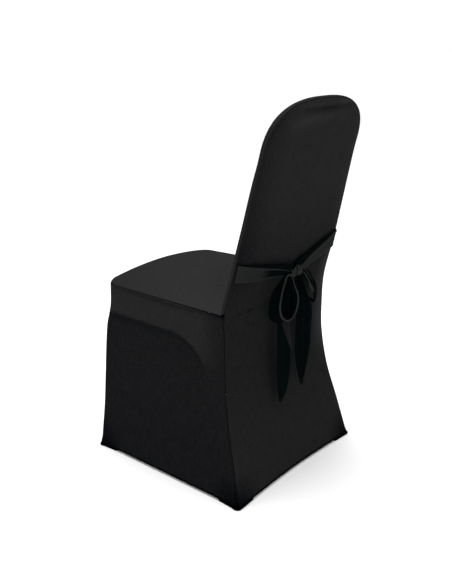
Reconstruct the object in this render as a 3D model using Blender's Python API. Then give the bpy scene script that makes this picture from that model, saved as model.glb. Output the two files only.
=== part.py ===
"""Fitted stretch cover for a banquet chair, closed behind its back by two ties in a bow.

The cover stands as it does over the chair: +Z up, the sitter faces -Y, the rear panel faces +Y,
and the origin lies on the floor under the middle of the cover. Lengths are in metres.
Each piece of cloth is a grid laid out by a function of (u, v), both from 0 to 1.
"""

import math

import bmesh
import bpy
from mathutils import Vector

# Cloth and seams
CLOTH = 0.002             # thickness of the stretch cloth
POCKET_CLOTH = 0.0026     # the foot pockets are doubled
TIE_CLOTH = 0.002         # each tie is a flat tube of two thin layers
SEAM_SETBACK = 0.0003     # each piece stops this far from its seam line
SEAM_TAPER = 0.0006       # and its inner face this much sooner
SEAM_ROUND = 0.012        # radius of the cloth over the rear seams
SEAT_ROUND = 0.010        # radius of the cloth over the seat's edge
HEM_HEIGHT = 0.006        # the hem hangs just clear of the floor between the feet

# The rear corner seams, from the floor to the top of the back
REAR_SEAM = (
    # height, half width, depth behind the middle
    (0.000, 0.2455, 0.2190),
    (0.110, 0.2300, 0.1900),
    (0.210, 0.2155, 0.1625),
    (0.310, 0.2060, 0.1480),
    (0.385, 0.2050, 0.1460),
    (0.460, 0.2080, 0.1480),
    (0.560, 0.2060, 0.1735),
    (0.660, 0.2000, 0.1975),
    (0.760, 0.1940, 0.2208),
    (0.812, 0.1900, 0.2346),
    (0.927, 0.1900, 0.2650),
)

# The front corners, where the side and front panels would meet if they weren't rounded
FRONT_CORNER = (
    # height, half width, depth in front of the middle, corner radius
    (0.000, 0.2290, 0.2700, 0.014),
    (0.120, 0.2210, 0.2600, 0.015),
    (0.200, 0.2175, 0.2560, 0.016),
    (0.340, 0.2120, 0.2500, 0.022),
    (0.400, 0.2085, 0.2440, 0.034),
    (0.470, 0.2085, 0.2425, 0.038),
)

# The rounded top of the back, a superellipse above the height where it springs
CREST_SPRING = 0.812
CREST_RISE = 0.115
CREST_HALF_WIDTH = 0.190
CREST_POWER = 2.7
SHOULDER_SHARE = 0.64     # share of the rise where the sides of the panels end and their top begins
SHOULDER = CREST_SPRING + SHOULDER_SHARE * CREST_RISE

# The padded back: the inside panel bulges past the seam and domes forward
BULGE_SIDE = 0.0012
BULGE_TOP = 0.005
WRAP_SIDE = 0.005         # how far forward of the seam it is widest, at its sides
WRAP_TOP = 0.009          # and at its top
BACK_THICKNESS = 0.040
BACK_POWER = 2.0
BACK_RIM_SCALE = 0.90     # where the dome's steep rim ends
SWELL_POWER = 2           # how the rear panel's swell and hollows fall away to its seams
REAR_CROWN = 0.005        # its swell across the back
REAR_HOLLOW = 0.004       # and how far it is drawn in between the legs
HOLLOW_TOP = (0.36, 0.52)  # heights over which the hollow turns into the swell
HEM_HOLLOW = 0.007        # and at the hem, between the feet
HEM_HOLLOW_TOP = 0.12     # height up to which the hem draws the panel in
SWELL_TOP = (0.80, 0.92)  # heights over which the swell fades out under the crest

# The seat
SEAT_REAR_HEIGHT = 0.4550
SEAT_FRONT_HEIGHT = 0.4620
SEAT_REAR_DEPTH = 0.110
SEAT_CROWN = 0.045
SEAT_SIDE_POWER = 0.9     # how the crown falls away to the sides
SEAT_FRONT_POWER = 6.0    # and to the front
SEAT_FRONT_SHARE = 0.44   # share of the crown that is left at the front edge
SEAT_REAR_SHARE = 0.30    # and at the crease
CREASE_GAP = 0.0010       # between the seat panel and the inside panel's lower edge
CREASE_SHARE = 0.35       # share of the inside panel's v that is lifted along the crease
SEAT_CROWN_RUN = 0.45     # share of the seat over which its crown rises from the crease
SEAT_REAR_LINE = 0.15     # depth at which the seat's edge has its rear height
SEAT_LENGTH = 0.39        # from there to the depth at which it has its front height

# The side panels are taut over the seat's rail and the rear leg and hollow below them
RAIL_HEIGHT = 0.3895
RAIL_SLOPE = 0.03
LEG_FRONT_LOW = 0.2200    # the leg line's place at the floor
LEG_FRONT_SLOPE = 0.409
ARCH_RADIUS = 0.076
HOLLOW = 0.008
HOLLOW_EASE = 0.022
HOLLOW_FOOT_SHARE = 0.35  # share of a hollow that is left at the hem
HOLLOW_FULL = 0.25        # and the height where it is whole
RAIL_DEPTH = 0.2          # depth in front of the middle where the rail line has RAIL_HEIGHT
FRONT_RAIL_EASE = 0.05    # height over which the front panel sinks in below the rail

# Foot pockets
POCKET_HEIGHT = 0.0052
POCKET_ROUND = 0.003
POCKET_SHELF = 0.012
POCKET_SWELL = 0.004      # how far it stands out past the hem
REAR_POCKET_SIDE = 0.14   # share of the side hem that a rear pocket takes
REAR_POCKET_REAR = 0.198  # and of the rear hem
FRONT_POCKET_FRONT = 0.19  # share of the front hem that a front pocket takes
FRONT_POCKET_SIDE = 0.20  # and of the side hem
SHELF_END = 0.6           # share of a pocket's v where its shelf ends
TURN_END = 0.85           # and where its turn-up begins

# The bow
KNOT = (-0.027, 0.1850, 0.5170)
KNOT_RADII = (0.0135, 0.0095, 0.0125)
GATHER_RADII = (0.0085, 0.0085, 0.0100)
GATHER_OFFSET = (0.0230, -0.0005, -0.0040)
BAND_CLEARANCE = 0.0035
ROOT_CLEARANCE = 0.0004
ROOT_EASE = 0.2           # share of a band over which it lifts off the seam
KNOT_EASE = 0.6           # and where it begins to rise to the knot

LEFT_BAND = (
    # run, x, upper edge, lower edge
    (0.00, 0.2030, 0.5780, 0.5360),
    (0.25, 0.1550, 0.5640, 0.5260),
    (0.55, 0.0940, 0.5480, 0.5170),
    (0.80, 0.0370, 0.5330, 0.5120),
    (1.00, -0.0020, 0.5200, 0.5080),
)
RIGHT_BAND = (
    # run, x, upper edge, lower edge
    (0.00, -0.2030, 0.5850, 0.5370),
    (0.25, -0.1600, 0.5680, 0.5300),
    (0.60, -0.1000, 0.5450, 0.5190),
    (0.85, -0.0600, 0.5300, 0.5130),
    (1.00, -0.0300, 0.5230, 0.5110),
)
LEFT_LOOP = (
    # run, rim x, y, z, inner edge x, y, z, cup
    (0.00, -0.0030, 0.1880, 0.5150, -0.0030, 0.1800, 0.5110, 0.0000),
    (0.09, 0.0240, 0.1910, 0.5140, 0.0260, 0.1790, 0.5060, 0.0010),
    (0.20, 0.0480, 0.1990, 0.4950, 0.0520, 0.1740, 0.4880, 0.0030),
    (0.30, 0.0620, 0.2030, 0.4720, 0.0670, 0.1720, 0.4650, 0.0040),
    (0.39, 0.0690, 0.2050, 0.4500, 0.0720, 0.1720, 0.4430, 0.0030),
    (0.47, 0.0620, 0.2060, 0.4260, 0.0680, 0.1720, 0.4160, 0.0000),
    (0.54, 0.0410, 0.2060, 0.4110, 0.0440, 0.1720, 0.3990, 0.0000),
    (0.61, 0.0190, 0.2050, 0.4090, 0.0190, 0.1720, 0.4000, 0.0000),
    (0.68, 0.0010, 0.2040, 0.4200, 0.0020, 0.1730, 0.4120, 0.0010),
    (0.77, -0.0110, 0.2020, 0.4430, -0.0070, 0.1740, 0.4380, 0.0020),
    (0.85, -0.0110, 0.2000, 0.4640, -0.0050, 0.1750, 0.4600, 0.0020),
    (0.93, -0.0030, 0.1950, 0.4870, 0.0030, 0.1770, 0.4840, 0.0010),
    (1.00, -0.0010, 0.1890, 0.5080, -0.0010, 0.1800, 0.5060, 0.0000),
)
RIGHT_LOOP = (
    # run, rim x, y, z, inner edge x, y, z, cup
    (0.00, -0.0330, 0.1900, 0.5120, -0.0350, 0.1840, 0.5180, 0.0000),
    (0.10, -0.0400, 0.1940, 0.5020, -0.0600, 0.1810, 0.5140, 0.0010),
    (0.22, -0.0500, 0.1975, 0.4860, -0.0870, 0.1770, 0.5000, 0.0030),
    (0.34, -0.0600, 0.1990, 0.4720, -0.1110, 0.1740, 0.4820, 0.0040),
    (0.46, -0.0730, 0.1995, 0.4560, -0.1290, 0.1730, 0.4590, 0.0040),
    (0.56, -0.0830, 0.1985, 0.4380, -0.1340, 0.1730, 0.4350, 0.0020),
    (0.64, -0.0880, 0.1960, 0.4240, -0.1240, 0.1760, 0.4140, 0.0000),
    (0.72, -0.0830, 0.1930, 0.4240, -0.1120, 0.1740, 0.4180, -0.0020),
    (0.84, -0.0610, 0.1910, 0.4450, -0.0780, 0.1730, 0.4420, -0.0020),
    (1.00, -0.0320, 0.1870, 0.5050, -0.0320, 0.1800, 0.5050, 0.0000),
)
LEFT_TAIL = (
    # run, rim x, y, z, inner edge x, y, z, cup
    (0.00, -0.0060, 0.1840, 0.5080, -0.0010, 0.1780, 0.5080, 0.0000),
    (0.18, 0.0080, 0.1880, 0.4510, 0.0210, 0.1720, 0.4500, 0.0010),
    (0.36, 0.0130, 0.1920, 0.3980, 0.0330, 0.1710, 0.3970, 0.0030),
    (0.55, 0.0020, 0.1930, 0.3320, 0.0360, 0.1730, 0.3360, 0.0050),
    (0.72, 0.0010, 0.1930, 0.2720, 0.0420, 0.1770, 0.2800, 0.0050),
    (0.88, 0.0120, 0.1900, 0.2200, 0.0400, 0.1810, 0.2180, 0.0030),
    (1.00, 0.0310, 0.1865, 0.1890, 0.0360, 0.1840, 0.1890, 0.0000),
)
RIGHT_TAIL = (
    # run, rim x, y, z, inner edge x, y, z, cup
    (0.00, -0.0350, 0.1880, 0.5080, -0.0330, 0.1810, 0.5080, 0.0000),
    (0.18, -0.0550, 0.1950, 0.4590, -0.0390, 0.1760, 0.4600, 0.0010),
    (0.34, -0.0690, 0.2020, 0.4190, -0.0430, 0.1740, 0.4200, 0.0030),
    (0.52, -0.0700, 0.2020, 0.3670, -0.0410, 0.1740, 0.3690, 0.0030),
    (0.70, -0.0700, 0.2000, 0.3100, -0.0410, 0.1740, 0.3120, 0.0030),
    (0.86, -0.0630, 0.1960, 0.2590, -0.0450, 0.1760, 0.2620, 0.0020),
    (1.00, -0.0570, 0.1890, 0.2070, -0.0530, 0.1860, 0.2070, 0.0000),
)

# How the grids are divided
BAND = 0.12               # share of u or v that rounds over a seam
BACK_BAND = 0.24          # the inside panel also turns its deep rim there
REAR_REACH = (SHOULDER - HEM_HEIGHT) / (SHOULDER - SEAT_REAR_HEIGHT)
BULGE_SHARE = 0.35        # share of that band up to the widest line of the bulge
REAR_ARC_END = 0.05       # share of a side panel's u that rounds over the rear seam
FRONT_ARC_START = 0.88    # and where its front corner begins
FRONT_ARC = 0.10          # share of the front panel's u in each corner
TOP_ARC_START = 0.95      # share of a skirt's v where the seat's edge begins
HALF_TURN = math.radians(45.0)
SEAT_TURN = math.radians(66.0)


def mix(a, b, share):
    return a + (b - a) * share


def ease(share):
    """Goes smoothly from 0 to 1."""
    share = min(max(share, 0.0), 1.0)
    return share * share * (3.0 - 2.0 * share)


def ease_between(ends, value):
    low, high = ends
    return ease((value - low) / (high - low))


def read(table, key):
    """Reads a table at a key of its first column, smoothly between the rows."""
    keys = [row[0] for row in table]
    key = min(max(key, keys[0]), keys[-1])
    i = 0
    while i < len(keys) - 2 and key > keys[i + 1]:
        i += 1
    span = keys[i + 1] - keys[i]
    s = (key - keys[i]) / span
    values = []
    for column in range(1, len(table[0])):
        def slope(j):
            low, high = max(j - 1, 0), min(j + 1, len(keys) - 1)
            return (table[high][column] - table[low][column]) / (keys[high] - keys[low])
        a, b = table[i][column], table[i + 1][column]
        values.append(
            (2 * s**3 - 3 * s**2 + 1) * a
            + (s**3 - 2 * s**2 + s) * span * slope(i)
            + (3 * s**2 - 2 * s**3) * b
            + (s**3 - s**2) * span * slope(i + 1)
        )
    return values


# Outline of the back

def back_half_width(height, scale=1.0, side=0.0, top=0.0):
    """Half width of the back's outline, scaled about its middle and grown at its sides and top."""
    if height <= CREST_SPRING:
        return scale * (read(REAR_SEAM, height)[0] + side)
    share = (height - CREST_SPRING) / (scale * (CREST_RISE + top))
    return scale * (CREST_HALF_WIDTH + side) * max(0.0, 1.0 - share**CREST_POWER) ** (1.0 / CREST_POWER)


def back_outline(edge, t, low, scale=1.0, side=0.0, top=0.0):
    """A point (x, z) of the back's outline: up the left, over the top, or up the right."""
    if edge == "top":
        start = math.asin(SHOULDER_SHARE ** (CREST_POWER / 2.0))
        angle = mix(start, math.pi - start, t)
        along = math.cos(angle)
        x = math.copysign(abs(along) ** (2.0 / CREST_POWER), along) * scale * (CREST_HALF_WIDTH + side)
        return x, CREST_SPRING + math.sin(angle) ** (2.0 / CREST_POWER) * scale * (CREST_RISE + top)
    shoulder = CREST_SPRING + SHOULDER_SHARE * scale * (CREST_RISE + top)
    height = mix(low, shoulder, t)
    x = back_half_width(height, scale, side, top)
    return (x if edge == "left" else -x), height


def seam_depth(height):
    return read(REAR_SEAM, height)[1]


def nearest_edge(u, v, reach=1.0):
    """How far (u, v) is from the left, right or top edge, which one it is, and where along it.

    reach is how much larger a step of v is than a step of u.
    """
    inset = min(u, 1.0 - u, (1.0 - v) * reach)
    if inset == (1.0 - v) * reach:
        return inset, "top", (u - inset) / max(1.0 - 2.0 * inset, 1e-9)
    return inset, ("left" if inset == u else "right"), v / (1.0 - inset / reach)


def fill(edge, u, v):
    """A smooth patch between three edge curves and a straight bottom."""
    left, right, top = edge("left", v), edge("right", v), edge("top", u)
    bottom = mix(edge("left", 0.0), edge("right", 0.0), u)
    corners = mix(mix(edge("left", 0.0), edge("right", 0.0), u), mix(edge("left", 1.0), edge("right", 1.0), u), v)
    return mix(left, right, u) + mix(bottom, top, v) - corners


# The panels

def rear_surface(x, height):
    """Depth of the rear panel away from its seams."""
    across = (1.0 - min(1.0, abs(x) / back_half_width(min(height, CREST_SPRING))) ** 2) ** SWELL_POWER
    swell = mix(-HEM_HOLLOW, -REAR_HOLLOW, ease(height / HEM_HOLLOW_TOP))
    swell = mix(swell, REAR_CROWN, ease_between(HOLLOW_TOP, height)) * (1.0 - ease_between(SWELL_TOP, height))
    return seam_depth(height) + SEAM_ROUND * (1.0 - math.cos(HALF_TURN)) + swell * across


def rear_panel(u, v):
    inset, edge, t = nearest_edge(u, v, REAR_REACH)
    if inset < BAND:
        turn = HALF_TURN * (1.0 - inset / BAND)
        shrink = SEAM_ROUND * (math.sin(HALF_TURN) - math.sin(turn))
        x, height = back_outline(edge, t, HEM_HEIGHT, side=-shrink, top=-shrink)
        return Vector((x, seam_depth(height) + SEAM_ROUND * (math.cos(turn) - math.cos(HALF_TURN)), height))

    def rim(side, t):
        shrink = SEAM_ROUND * math.sin(HALF_TURN)
        x, height = back_outline(side, t, HEM_HEIGHT, side=-shrink, top=-shrink)
        return Vector((x, 0.0, height))

    point = fill(rim, (u - BAND) / (1.0 - 2.0 * BAND), v / (1.0 - BAND / REAR_REACH))
    point.y = rear_surface(point.x, point.z)
    return point


def wrap_depth(height):
    """How far forward of the seam the inside panel is widest."""
    return mix(WRAP_SIDE, WRAP_TOP, ease((height - CREST_SPRING + 0.05) / (CREST_RISE + 0.05)))


def back_dome(x, height):
    """Thickness of the padded back in front of the seam."""
    across = abs(x) / (back_half_width(min(height, CREST_SPRING)) + BULGE_SIDE)
    up = max(0.0, height - CREST_SPRING) / (CREST_RISE + BULGE_TOP)
    radius = min(1.0, (across**CREST_POWER + up**CREST_POWER) ** (1.0 / CREST_POWER))
    return mix(wrap_depth(height), BACK_THICKNESS, (1.0 - radius**BACK_POWER) ** (1.0 / BACK_POWER))


def crease_height(x):
    """Height of the crease between the seat and the back."""
    depth = seam_depth(SEAT_REAR_HEIGHT) - back_dome(x, SEAT_REAR_HEIGHT)
    return seat_height(x, depth, SEAT_ROUND * (1.0 - math.cos(SEAT_TURN)))


def crease_depth(x):
    """Where the seat panel ends, just under the inside panel's lower edge."""
    height = crease_height(x)
    return seam_depth(height) - max(0.001, back_dome(x, height) - CLOTH)


def inside_back(u, v):
    inset, edge, t = nearest_edge(u, v)
    low = SEAT_REAR_HEIGHT

    def rim(side, t, scale=BACK_RIM_SCALE):
        x, height = back_outline(side, t, low, scale, BULGE_SIDE, BULGE_TOP)
        return Vector((x, 0.0, height))

    if inset < BACK_BAND * BULGE_SHARE:
        s = inset / (BACK_BAND * BULGE_SHARE)
        grow = s * (2.0 - s)
        x, height = back_outline(edge, t, low, 1.0, BULGE_SIDE * grow, BULGE_TOP * grow)
        point = Vector((x, seam_depth(height) - wrap_depth(height) * s, height))
    elif inset < BACK_BAND:
        s = (inset / BACK_BAND - BULGE_SHARE) / (1.0 - BULGE_SHARE)
        point = rim(edge, t, mix(1.0, BACK_RIM_SCALE, s * s))
        point.y = seam_depth(point.z) - back_dome(point.x, point.z)
    else:
        point = fill(rim, (u - BACK_BAND) / (1.0 - 2.0 * BACK_BAND), v / (1.0 - BACK_BAND))
        point.y = seam_depth(point.z) - back_dome(point.x, point.z)
    lift = (crease_height(point.x) + CREASE_GAP - low) * (1.0 - ease(v / CREASE_SHARE))
    point.z += lift
    point.y += seam_depth(point.z) - seam_depth(point.z - lift)
    return point


def seat_height(x, depth, inset):
    """Height of the seat: its edge falls a little to the back and its crown rises inside the edge."""
    half_width, front, _ = read(FRONT_CORNER, SEAT_FRONT_HEIGHT)
    across = max(0.0, 1.0 - (x / (half_width - inset)) ** 2) ** SEAT_SIDE_POWER
    forward = min(max((SEAT_REAR_DEPTH - depth) / (SEAT_REAR_DEPTH + front - inset), 0.0), 1.0)
    share = mix(SEAT_REAR_SHARE, 1.0, ease(forward / SEAT_CROWN_RUN))
    share *= 1.0 - (1.0 - SEAT_FRONT_SHARE) * forward**SEAT_FRONT_POWER
    edge = mix(SEAT_REAR_HEIGHT, SEAT_FRONT_HEIGHT, (SEAT_REAR_LINE - depth) / SEAT_LENGTH)
    return edge + SEAT_CROWN * across * share


def seat_outline(edge, t, inset):
    """The seat's edge in plan, set in from the side and front panels' faces."""
    half_width, front, radius = read(FRONT_CORNER, SEAT_FRONT_HEIGHT)
    half_width -= inset
    front = inset - front
    radius -= inset
    if edge == "top":
        sign = 1.0 if t < 0.5 else -1.0
        share = min(t, 1.0 - t)
        if share > BAND:
            x = (half_width - radius) * (0.5 - share) / (0.5 - BAND)
            return Vector((sign * x, front, 0.0))
        angle = HALF_TURN * (1.0 - share / BAND)
        x = half_width - radius + radius * math.sin(angle)
        return Vector((sign * x, front + radius - radius * math.cos(angle), 0.0))
    if t < 1.0 - BAND:
        x, depth = half_width, mix(crease_depth(half_width), front + radius, t / (1.0 - BAND))
    else:
        angle = HALF_TURN * (1.0 - (1.0 - t) / BAND)
        x = half_width - radius + radius * math.cos(angle)
        depth = front + radius - radius * math.sin(angle)
    return Vector((x if edge == "left" else -x, depth, 0.0))


def seat_panel(u, v):
    inset, edge, t = nearest_edge(u, v)
    if inset < BAND:
        turn = mix(HALF_TURN, SEAT_TURN, inset / BAND)
        setting = SEAT_ROUND * (1.0 - math.cos(turn))
        point = seat_outline(edge, t, setting)
        point.z = seat_height(point.x, point.y, setting) - SEAT_ROUND * (1.0 - math.sin(turn))
        return point
    across, forward = (u - BAND) / (1.0 - 2.0 * BAND), v / (1.0 - BAND)
    setting = SEAT_ROUND * (1.0 - math.cos(SEAT_TURN))

    def rim(side, t):
        return seat_outline(side, t, setting)

    point = fill(rim, across, forward)
    straight_rear = mix(rim("left", 0.0), rim("right", 0.0), across).y
    point.y += (crease_depth(point.x) - straight_rear) * (1.0 - forward) ** 2
    point.z = seat_height(point.x, point.y, setting) - SEAT_ROUND * (1.0 - math.sin(SEAT_TURN))
    return point


def hollow(depth, height):
    """How far a side panel sinks in below the seat's rail and in front of the rear leg."""
    below = RAIL_HEIGHT - RAIL_SLOPE * (depth + RAIL_DEPTH) - height
    ahead = LEG_FRONT_LOW - LEG_FRONT_SLOPE * height - depth
    inside = min(below, ahead)
    if below < ARCH_RADIUS and ahead < ARCH_RADIUS:
        inside = ARCH_RADIUS - math.hypot(ARCH_RADIUS - below, ARCH_RADIUS - ahead)
    return HOLLOW * ease(inside / HOLLOW_EASE) * mix(HOLLOW_FOOT_SHARE, 1.0, ease(height / HOLLOW_FULL))


def side_wall(u, height):
    """A side panel's plan at a height: the rear seam's round, a flat run and the front corner's round."""
    half_width, depth = read(REAR_SEAM, height)
    rear_x = half_width - SEAM_ROUND * math.cos(HALF_TURN)
    rear_y = depth - SEAM_ROUND * math.sin(HALF_TURN)
    front_x, front_y, radius = read(FRONT_CORNER, height)
    front_x -= radius
    front_y = radius - front_y
    if u < REAR_ARC_END:
        turn = HALF_TURN * (1.0 - u / REAR_ARC_END)
        out = Vector((math.cos(turn), math.sin(turn), 0.0))
        return Vector((rear_x, rear_y, height)) + SEAM_ROUND * out, out
    if u > FRONT_ARC_START:
        turn = HALF_TURN * (u - FRONT_ARC_START) / (1.0 - FRONT_ARC_START)
        out = Vector((math.cos(turn), -math.sin(turn), 0.0))
        return Vector((front_x, front_y, height)) + radius * out, out
    share = (u - REAR_ARC_END) / (FRONT_ARC_START - REAR_ARC_END)
    start = Vector((rear_x + SEAM_ROUND, rear_y, height))
    end = Vector((front_x + radius, front_y, height))
    return mix(start, end, share), Vector((1.0, 0.0, 0.0))


def front_wall(u, height):
    """The front panel's plan at a height, from the left corner seam to the right one."""
    half_width, front, radius = read(FRONT_CORNER, height)
    mirrored = u > 0.5
    near = 1.0 - u if mirrored else u
    if near < FRONT_ARC:
        turn = HALF_TURN * (1.0 + near / FRONT_ARC)
        out = Vector((math.cos(turn), -math.sin(turn), 0.0))
        point = Vector((half_width - radius, radius - front, height)) + radius * out
    else:
        out = Vector((0.0, -1.0, 0.0))
        share = (near - FRONT_ARC) / (0.5 - FRONT_ARC)
        point = Vector((mix(half_width - radius, 0.0, share), -front, height))
    if mirrored:
        point.x, out.x = -point.x, -out.x
    return point, out


def skirt(wall, u, v, edge_round=SEAT_ROUND):
    """A skirt panel: straight up from the hem, then over the seat's edge to its seam."""
    point, out = wall(u, SEAT_REAR_HEIGHT)
    setting = SEAT_ROUND * (1.0 - math.cos(HALF_TURN))
    edge_height = seat_height(point.x - out.x * setting, point.y - out.y * setting, setting)
    edge_height -= (SEAT_ROUND - edge_round) * (1.0 - math.sin(HALF_TURN))
    if v < TOP_ARC_START:
        height = mix(HEM_HEIGHT, edge_height - edge_round, v / TOP_ARC_START)
        return wall(u, height)
    turn = HALF_TURN * (v - TOP_ARC_START) / (1.0 - TOP_ARC_START)
    point, out = wall(u, edge_height - edge_round * (1.0 - math.sin(turn)))
    return point - out * edge_round * (1.0 - math.cos(turn)), out


def left_skirt(u, v):
    point, out = skirt(side_wall, u, v, mix(0.001, SEAT_ROUND, ease(u / 0.08)))
    return point - out * hollow(point.y, point.z) * ease((1.0 - u) / 0.2) * ease((1.0 - v) / 0.1)


def right_skirt(u, v):
    point = left_skirt(1.0 - u, v)
    point.x = -point.x
    return point


def front_skirt(u, v):
    point, out = skirt(front_wall, u, v)
    between = ease((0.5 - abs(u - 0.5)) / 0.3)
    sink = HOLLOW * ease((RAIL_HEIGHT - point.z) / FRONT_RAIL_EASE)
    sink *= mix(HOLLOW_FOOT_SHARE, 1.0, ease(point.z / HOLLOW_FULL))
    return point - out * sink * between


def pocket(corner, u, v):
    """A foot pocket: a shelf of cloth under the foot, turned up along the two hems it hangs from."""
    rim = corner(u)
    along = (corner(min(1.0, u + 0.01)) - corner(max(0.0, u - 0.01))).normalized()
    out = Vector((along.y, -along.x, 0.0))
    if out.dot(rim) < 0.0:
        out = -out
    rim = rim + out * POCKET_SWELL * math.sin(math.pi * u)
    ends = [corner(0.0), corner(1.0)]
    inner = mix(ends[0], ends[1], u) * (1.0 - POCKET_SHELF / ends[0].length)
    foot = rim - out * POCKET_ROUND
    if v < SHELF_END:
        point = mix(inner, foot, v / SHELF_END)
        point.z = 0.0
        return point
    if v < TURN_END:
        turn = math.pi / 2.0 * (v - SHELF_END) / (TURN_END - SHELF_END)
        point = foot + out * POCKET_ROUND * math.sin(turn)
        point.z = POCKET_ROUND * (1.0 - math.cos(turn))
        return point
    point = rim.copy()
    point.z = mix(POCKET_ROUND, POCKET_HEIGHT, (v - TURN_END) / (1.0 - TURN_END))
    return point


def rear_corner(share):
    """The hem's outline round the left rear foot."""
    if share < 0.5:
        return left_skirt(REAR_POCKET_SIDE * (1.0 - 2.0 * share), 0.0)
    return rear_panel(REAR_POCKET_REAR * (2.0 * share - 1.0), 0.0)


def front_corner(share):
    """The hem's outline round the left front foot."""
    if share < 0.5:
        return front_skirt(FRONT_POCKET_FRONT * (1.0 - 2.0 * share), 0.0)
    return left_skirt(1.0 - FRONT_POCKET_SIDE * (2.0 * share - 1.0), 0.0)


# The ties

def band(table, u, v):
    """A tie's flat run across the rear panel, from its root in the seam to the knot."""
    x, upper, lower = read(table, u)
    height = mix(upper, lower, v)
    clearance = mix(ROOT_CLEARANCE, BAND_CLEARANCE, ease(u / ROOT_EASE)) + TIE_CLOTH
    depth = rear_surface(x, height) + clearance
    depth = mix(depth, max(depth, KNOT[1]), ease_between((KNOT_EASE, 1.0), u))
    past = max(0.0, abs(x) - (back_half_width(height) - SEAM_ROUND * math.sin(HALF_TURN)))
    return Vector((x, depth - SEAM_ROUND + math.sqrt(SEAM_ROUND**2 - past**2), height))


def ribbon(table, u, v):
    """A loop or a tail: a strip of cloth between its rim and its inner edge, cupped across."""
    x, y, z, inner_x, inner_y, inner_z, cup = read(table, u)
    rim, inner = Vector((x, y, z)), Vector((inner_x, inner_y, inner_z))
    later = Vector(read(table, min(1.0, u + 0.01))[:3])
    earlier = Vector(read(table, max(0.0, u - 0.01))[:3])
    out = (rim - inner).cross(later - earlier).normalized()
    return mix(inner, rim, v) + out * cup * math.sin(math.pi * v)


# Making the solids

def material(name, colour, roughness):
    made = bpy.data.materials.new(name)
    made.use_nodes = True
    shader = made.node_tree.nodes["Principled BSDF"]
    shader.inputs["Base Color"].default_value = (*colour, 1.0)
    shader.inputs["Roughness"].default_value = roughness
    shader.inputs["Metallic"].default_value = 0.0
    return made


def facing(place, u, v, step=0.002):
    """The cloth's direction out of its face."""
    u = min(max(u, step), 1.0 - step)
    v = min(max(v, step), 1.0 - step)
    along = place(u + step, v) - place(u - step, v)
    up = place(u, v + step) - place(u, v - step)
    return along.cross(up).normalized()


def into_sheet(place, u, v, side, step=0.002):
    """The direction in the cloth straight away from one of its edges."""
    if side in ("left", "right"):
        v = min(max(v, step), 1.0 - step)
        along = place(u, v + step) - place(u, v - step)
        inward = place(u + (step if side == "left" else -step), v) - place(u, v)
    else:
        u = min(max(u, step), 1.0 - step)
        along = place(u + step, v) - place(u - step, v)
        inward = place(u, v + (step if side == "bottom" else -step)) - place(u, v)
    return (inward - along * (inward.dot(along) / along.length_squared)).normalized()


def cloth_mesh(place, across, up, thickness, flip=False, sewn="", both_sides=False):
    """A closed sheet of cloth, laid out by place(u, v), thickened towards its inside.

    across and up list the values of u and v; sewn names the edges that stop short of a seam.
    """
    bm = bmesh.new()
    last_column, last_row = len(across) - 1, len(up) - 1
    bmesh.ops.create_grid(bm, x_segments=last_column, y_segments=last_row, size=1.0)
    column = bm.verts.layers.int.new("column")
    row = bm.verts.layers.int.new("row")
    for vert in bm.verts:
        vert[column] = round((vert.co.x + 1.0) / 2.0 * last_column)
        vert[row] = round((vert.co.y + 1.0) / 2.0 * last_row)
    back = bmesh.ops.extrude_face_region(bm, geom=bm.faces[:], use_keep_orig=True)
    back = {item for item in back["geom"] if isinstance(item, bmesh.types.BMVert)}
    for vert in bm.verts:
        i, j = vert[column], vert[row]
        point = place(across[i], up[j])
        setback = SEAM_SETBACK + (SEAM_TAPER if vert in back else 0.0)
        sides = {"left": i == 0, "right": i == last_column, "bottom": j == 0, "top": j == last_row}
        for side, here in sides.items():
            if here and side in sewn:
                point += into_sheet(place, across[i], up[j], side) * setback
        out = facing(place, across[i], up[j]) * (-1.0 if flip else 1.0)
        if both_sides:
            vert.co = point + out * thickness * (-0.5 if vert in back else 0.5)
        else:
            vert.co = point - out * (thickness if vert in back else 0.0)
    bmesh.ops.recalc_face_normals(bm, faces=bm.faces[:])
    if bm.calc_volume(signed=True) < 0.0:
        bmesh.ops.reverse_faces(bm, faces=bm.faces[:])
    mesh = bpy.data.meshes.new("cloth")
    bm.to_mesh(mesh)
    bm.free()
    mesh.shade_smooth()
    mesh.set_sharp_from_angle(angle=math.radians(50.0))
    return mesh


def add(name, mesh, finish, collection):
    piece = bpy.data.objects.new(name, mesh)
    mesh.name = name
    mesh.materials.append(finish)
    collection.objects.link(piece)
    return piece


def steps(*stretches, start=0.0, end=1.0):
    """Values for a grid from start to end: each stretch is a share and how many steps lead to it."""
    shares = [0.0]
    for share, count in stretches:
        last = shares[-1]
        shares += [mix(last, share, (k + 1) / count) for k in range(count)]
    return [mix(start, end, share) for share in shares]


def mirror_pocket(place):
    def other_side(u, v):
        point = place(1.0 - u, v)
        point.x = -point.x
        return point
    return other_side


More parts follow.
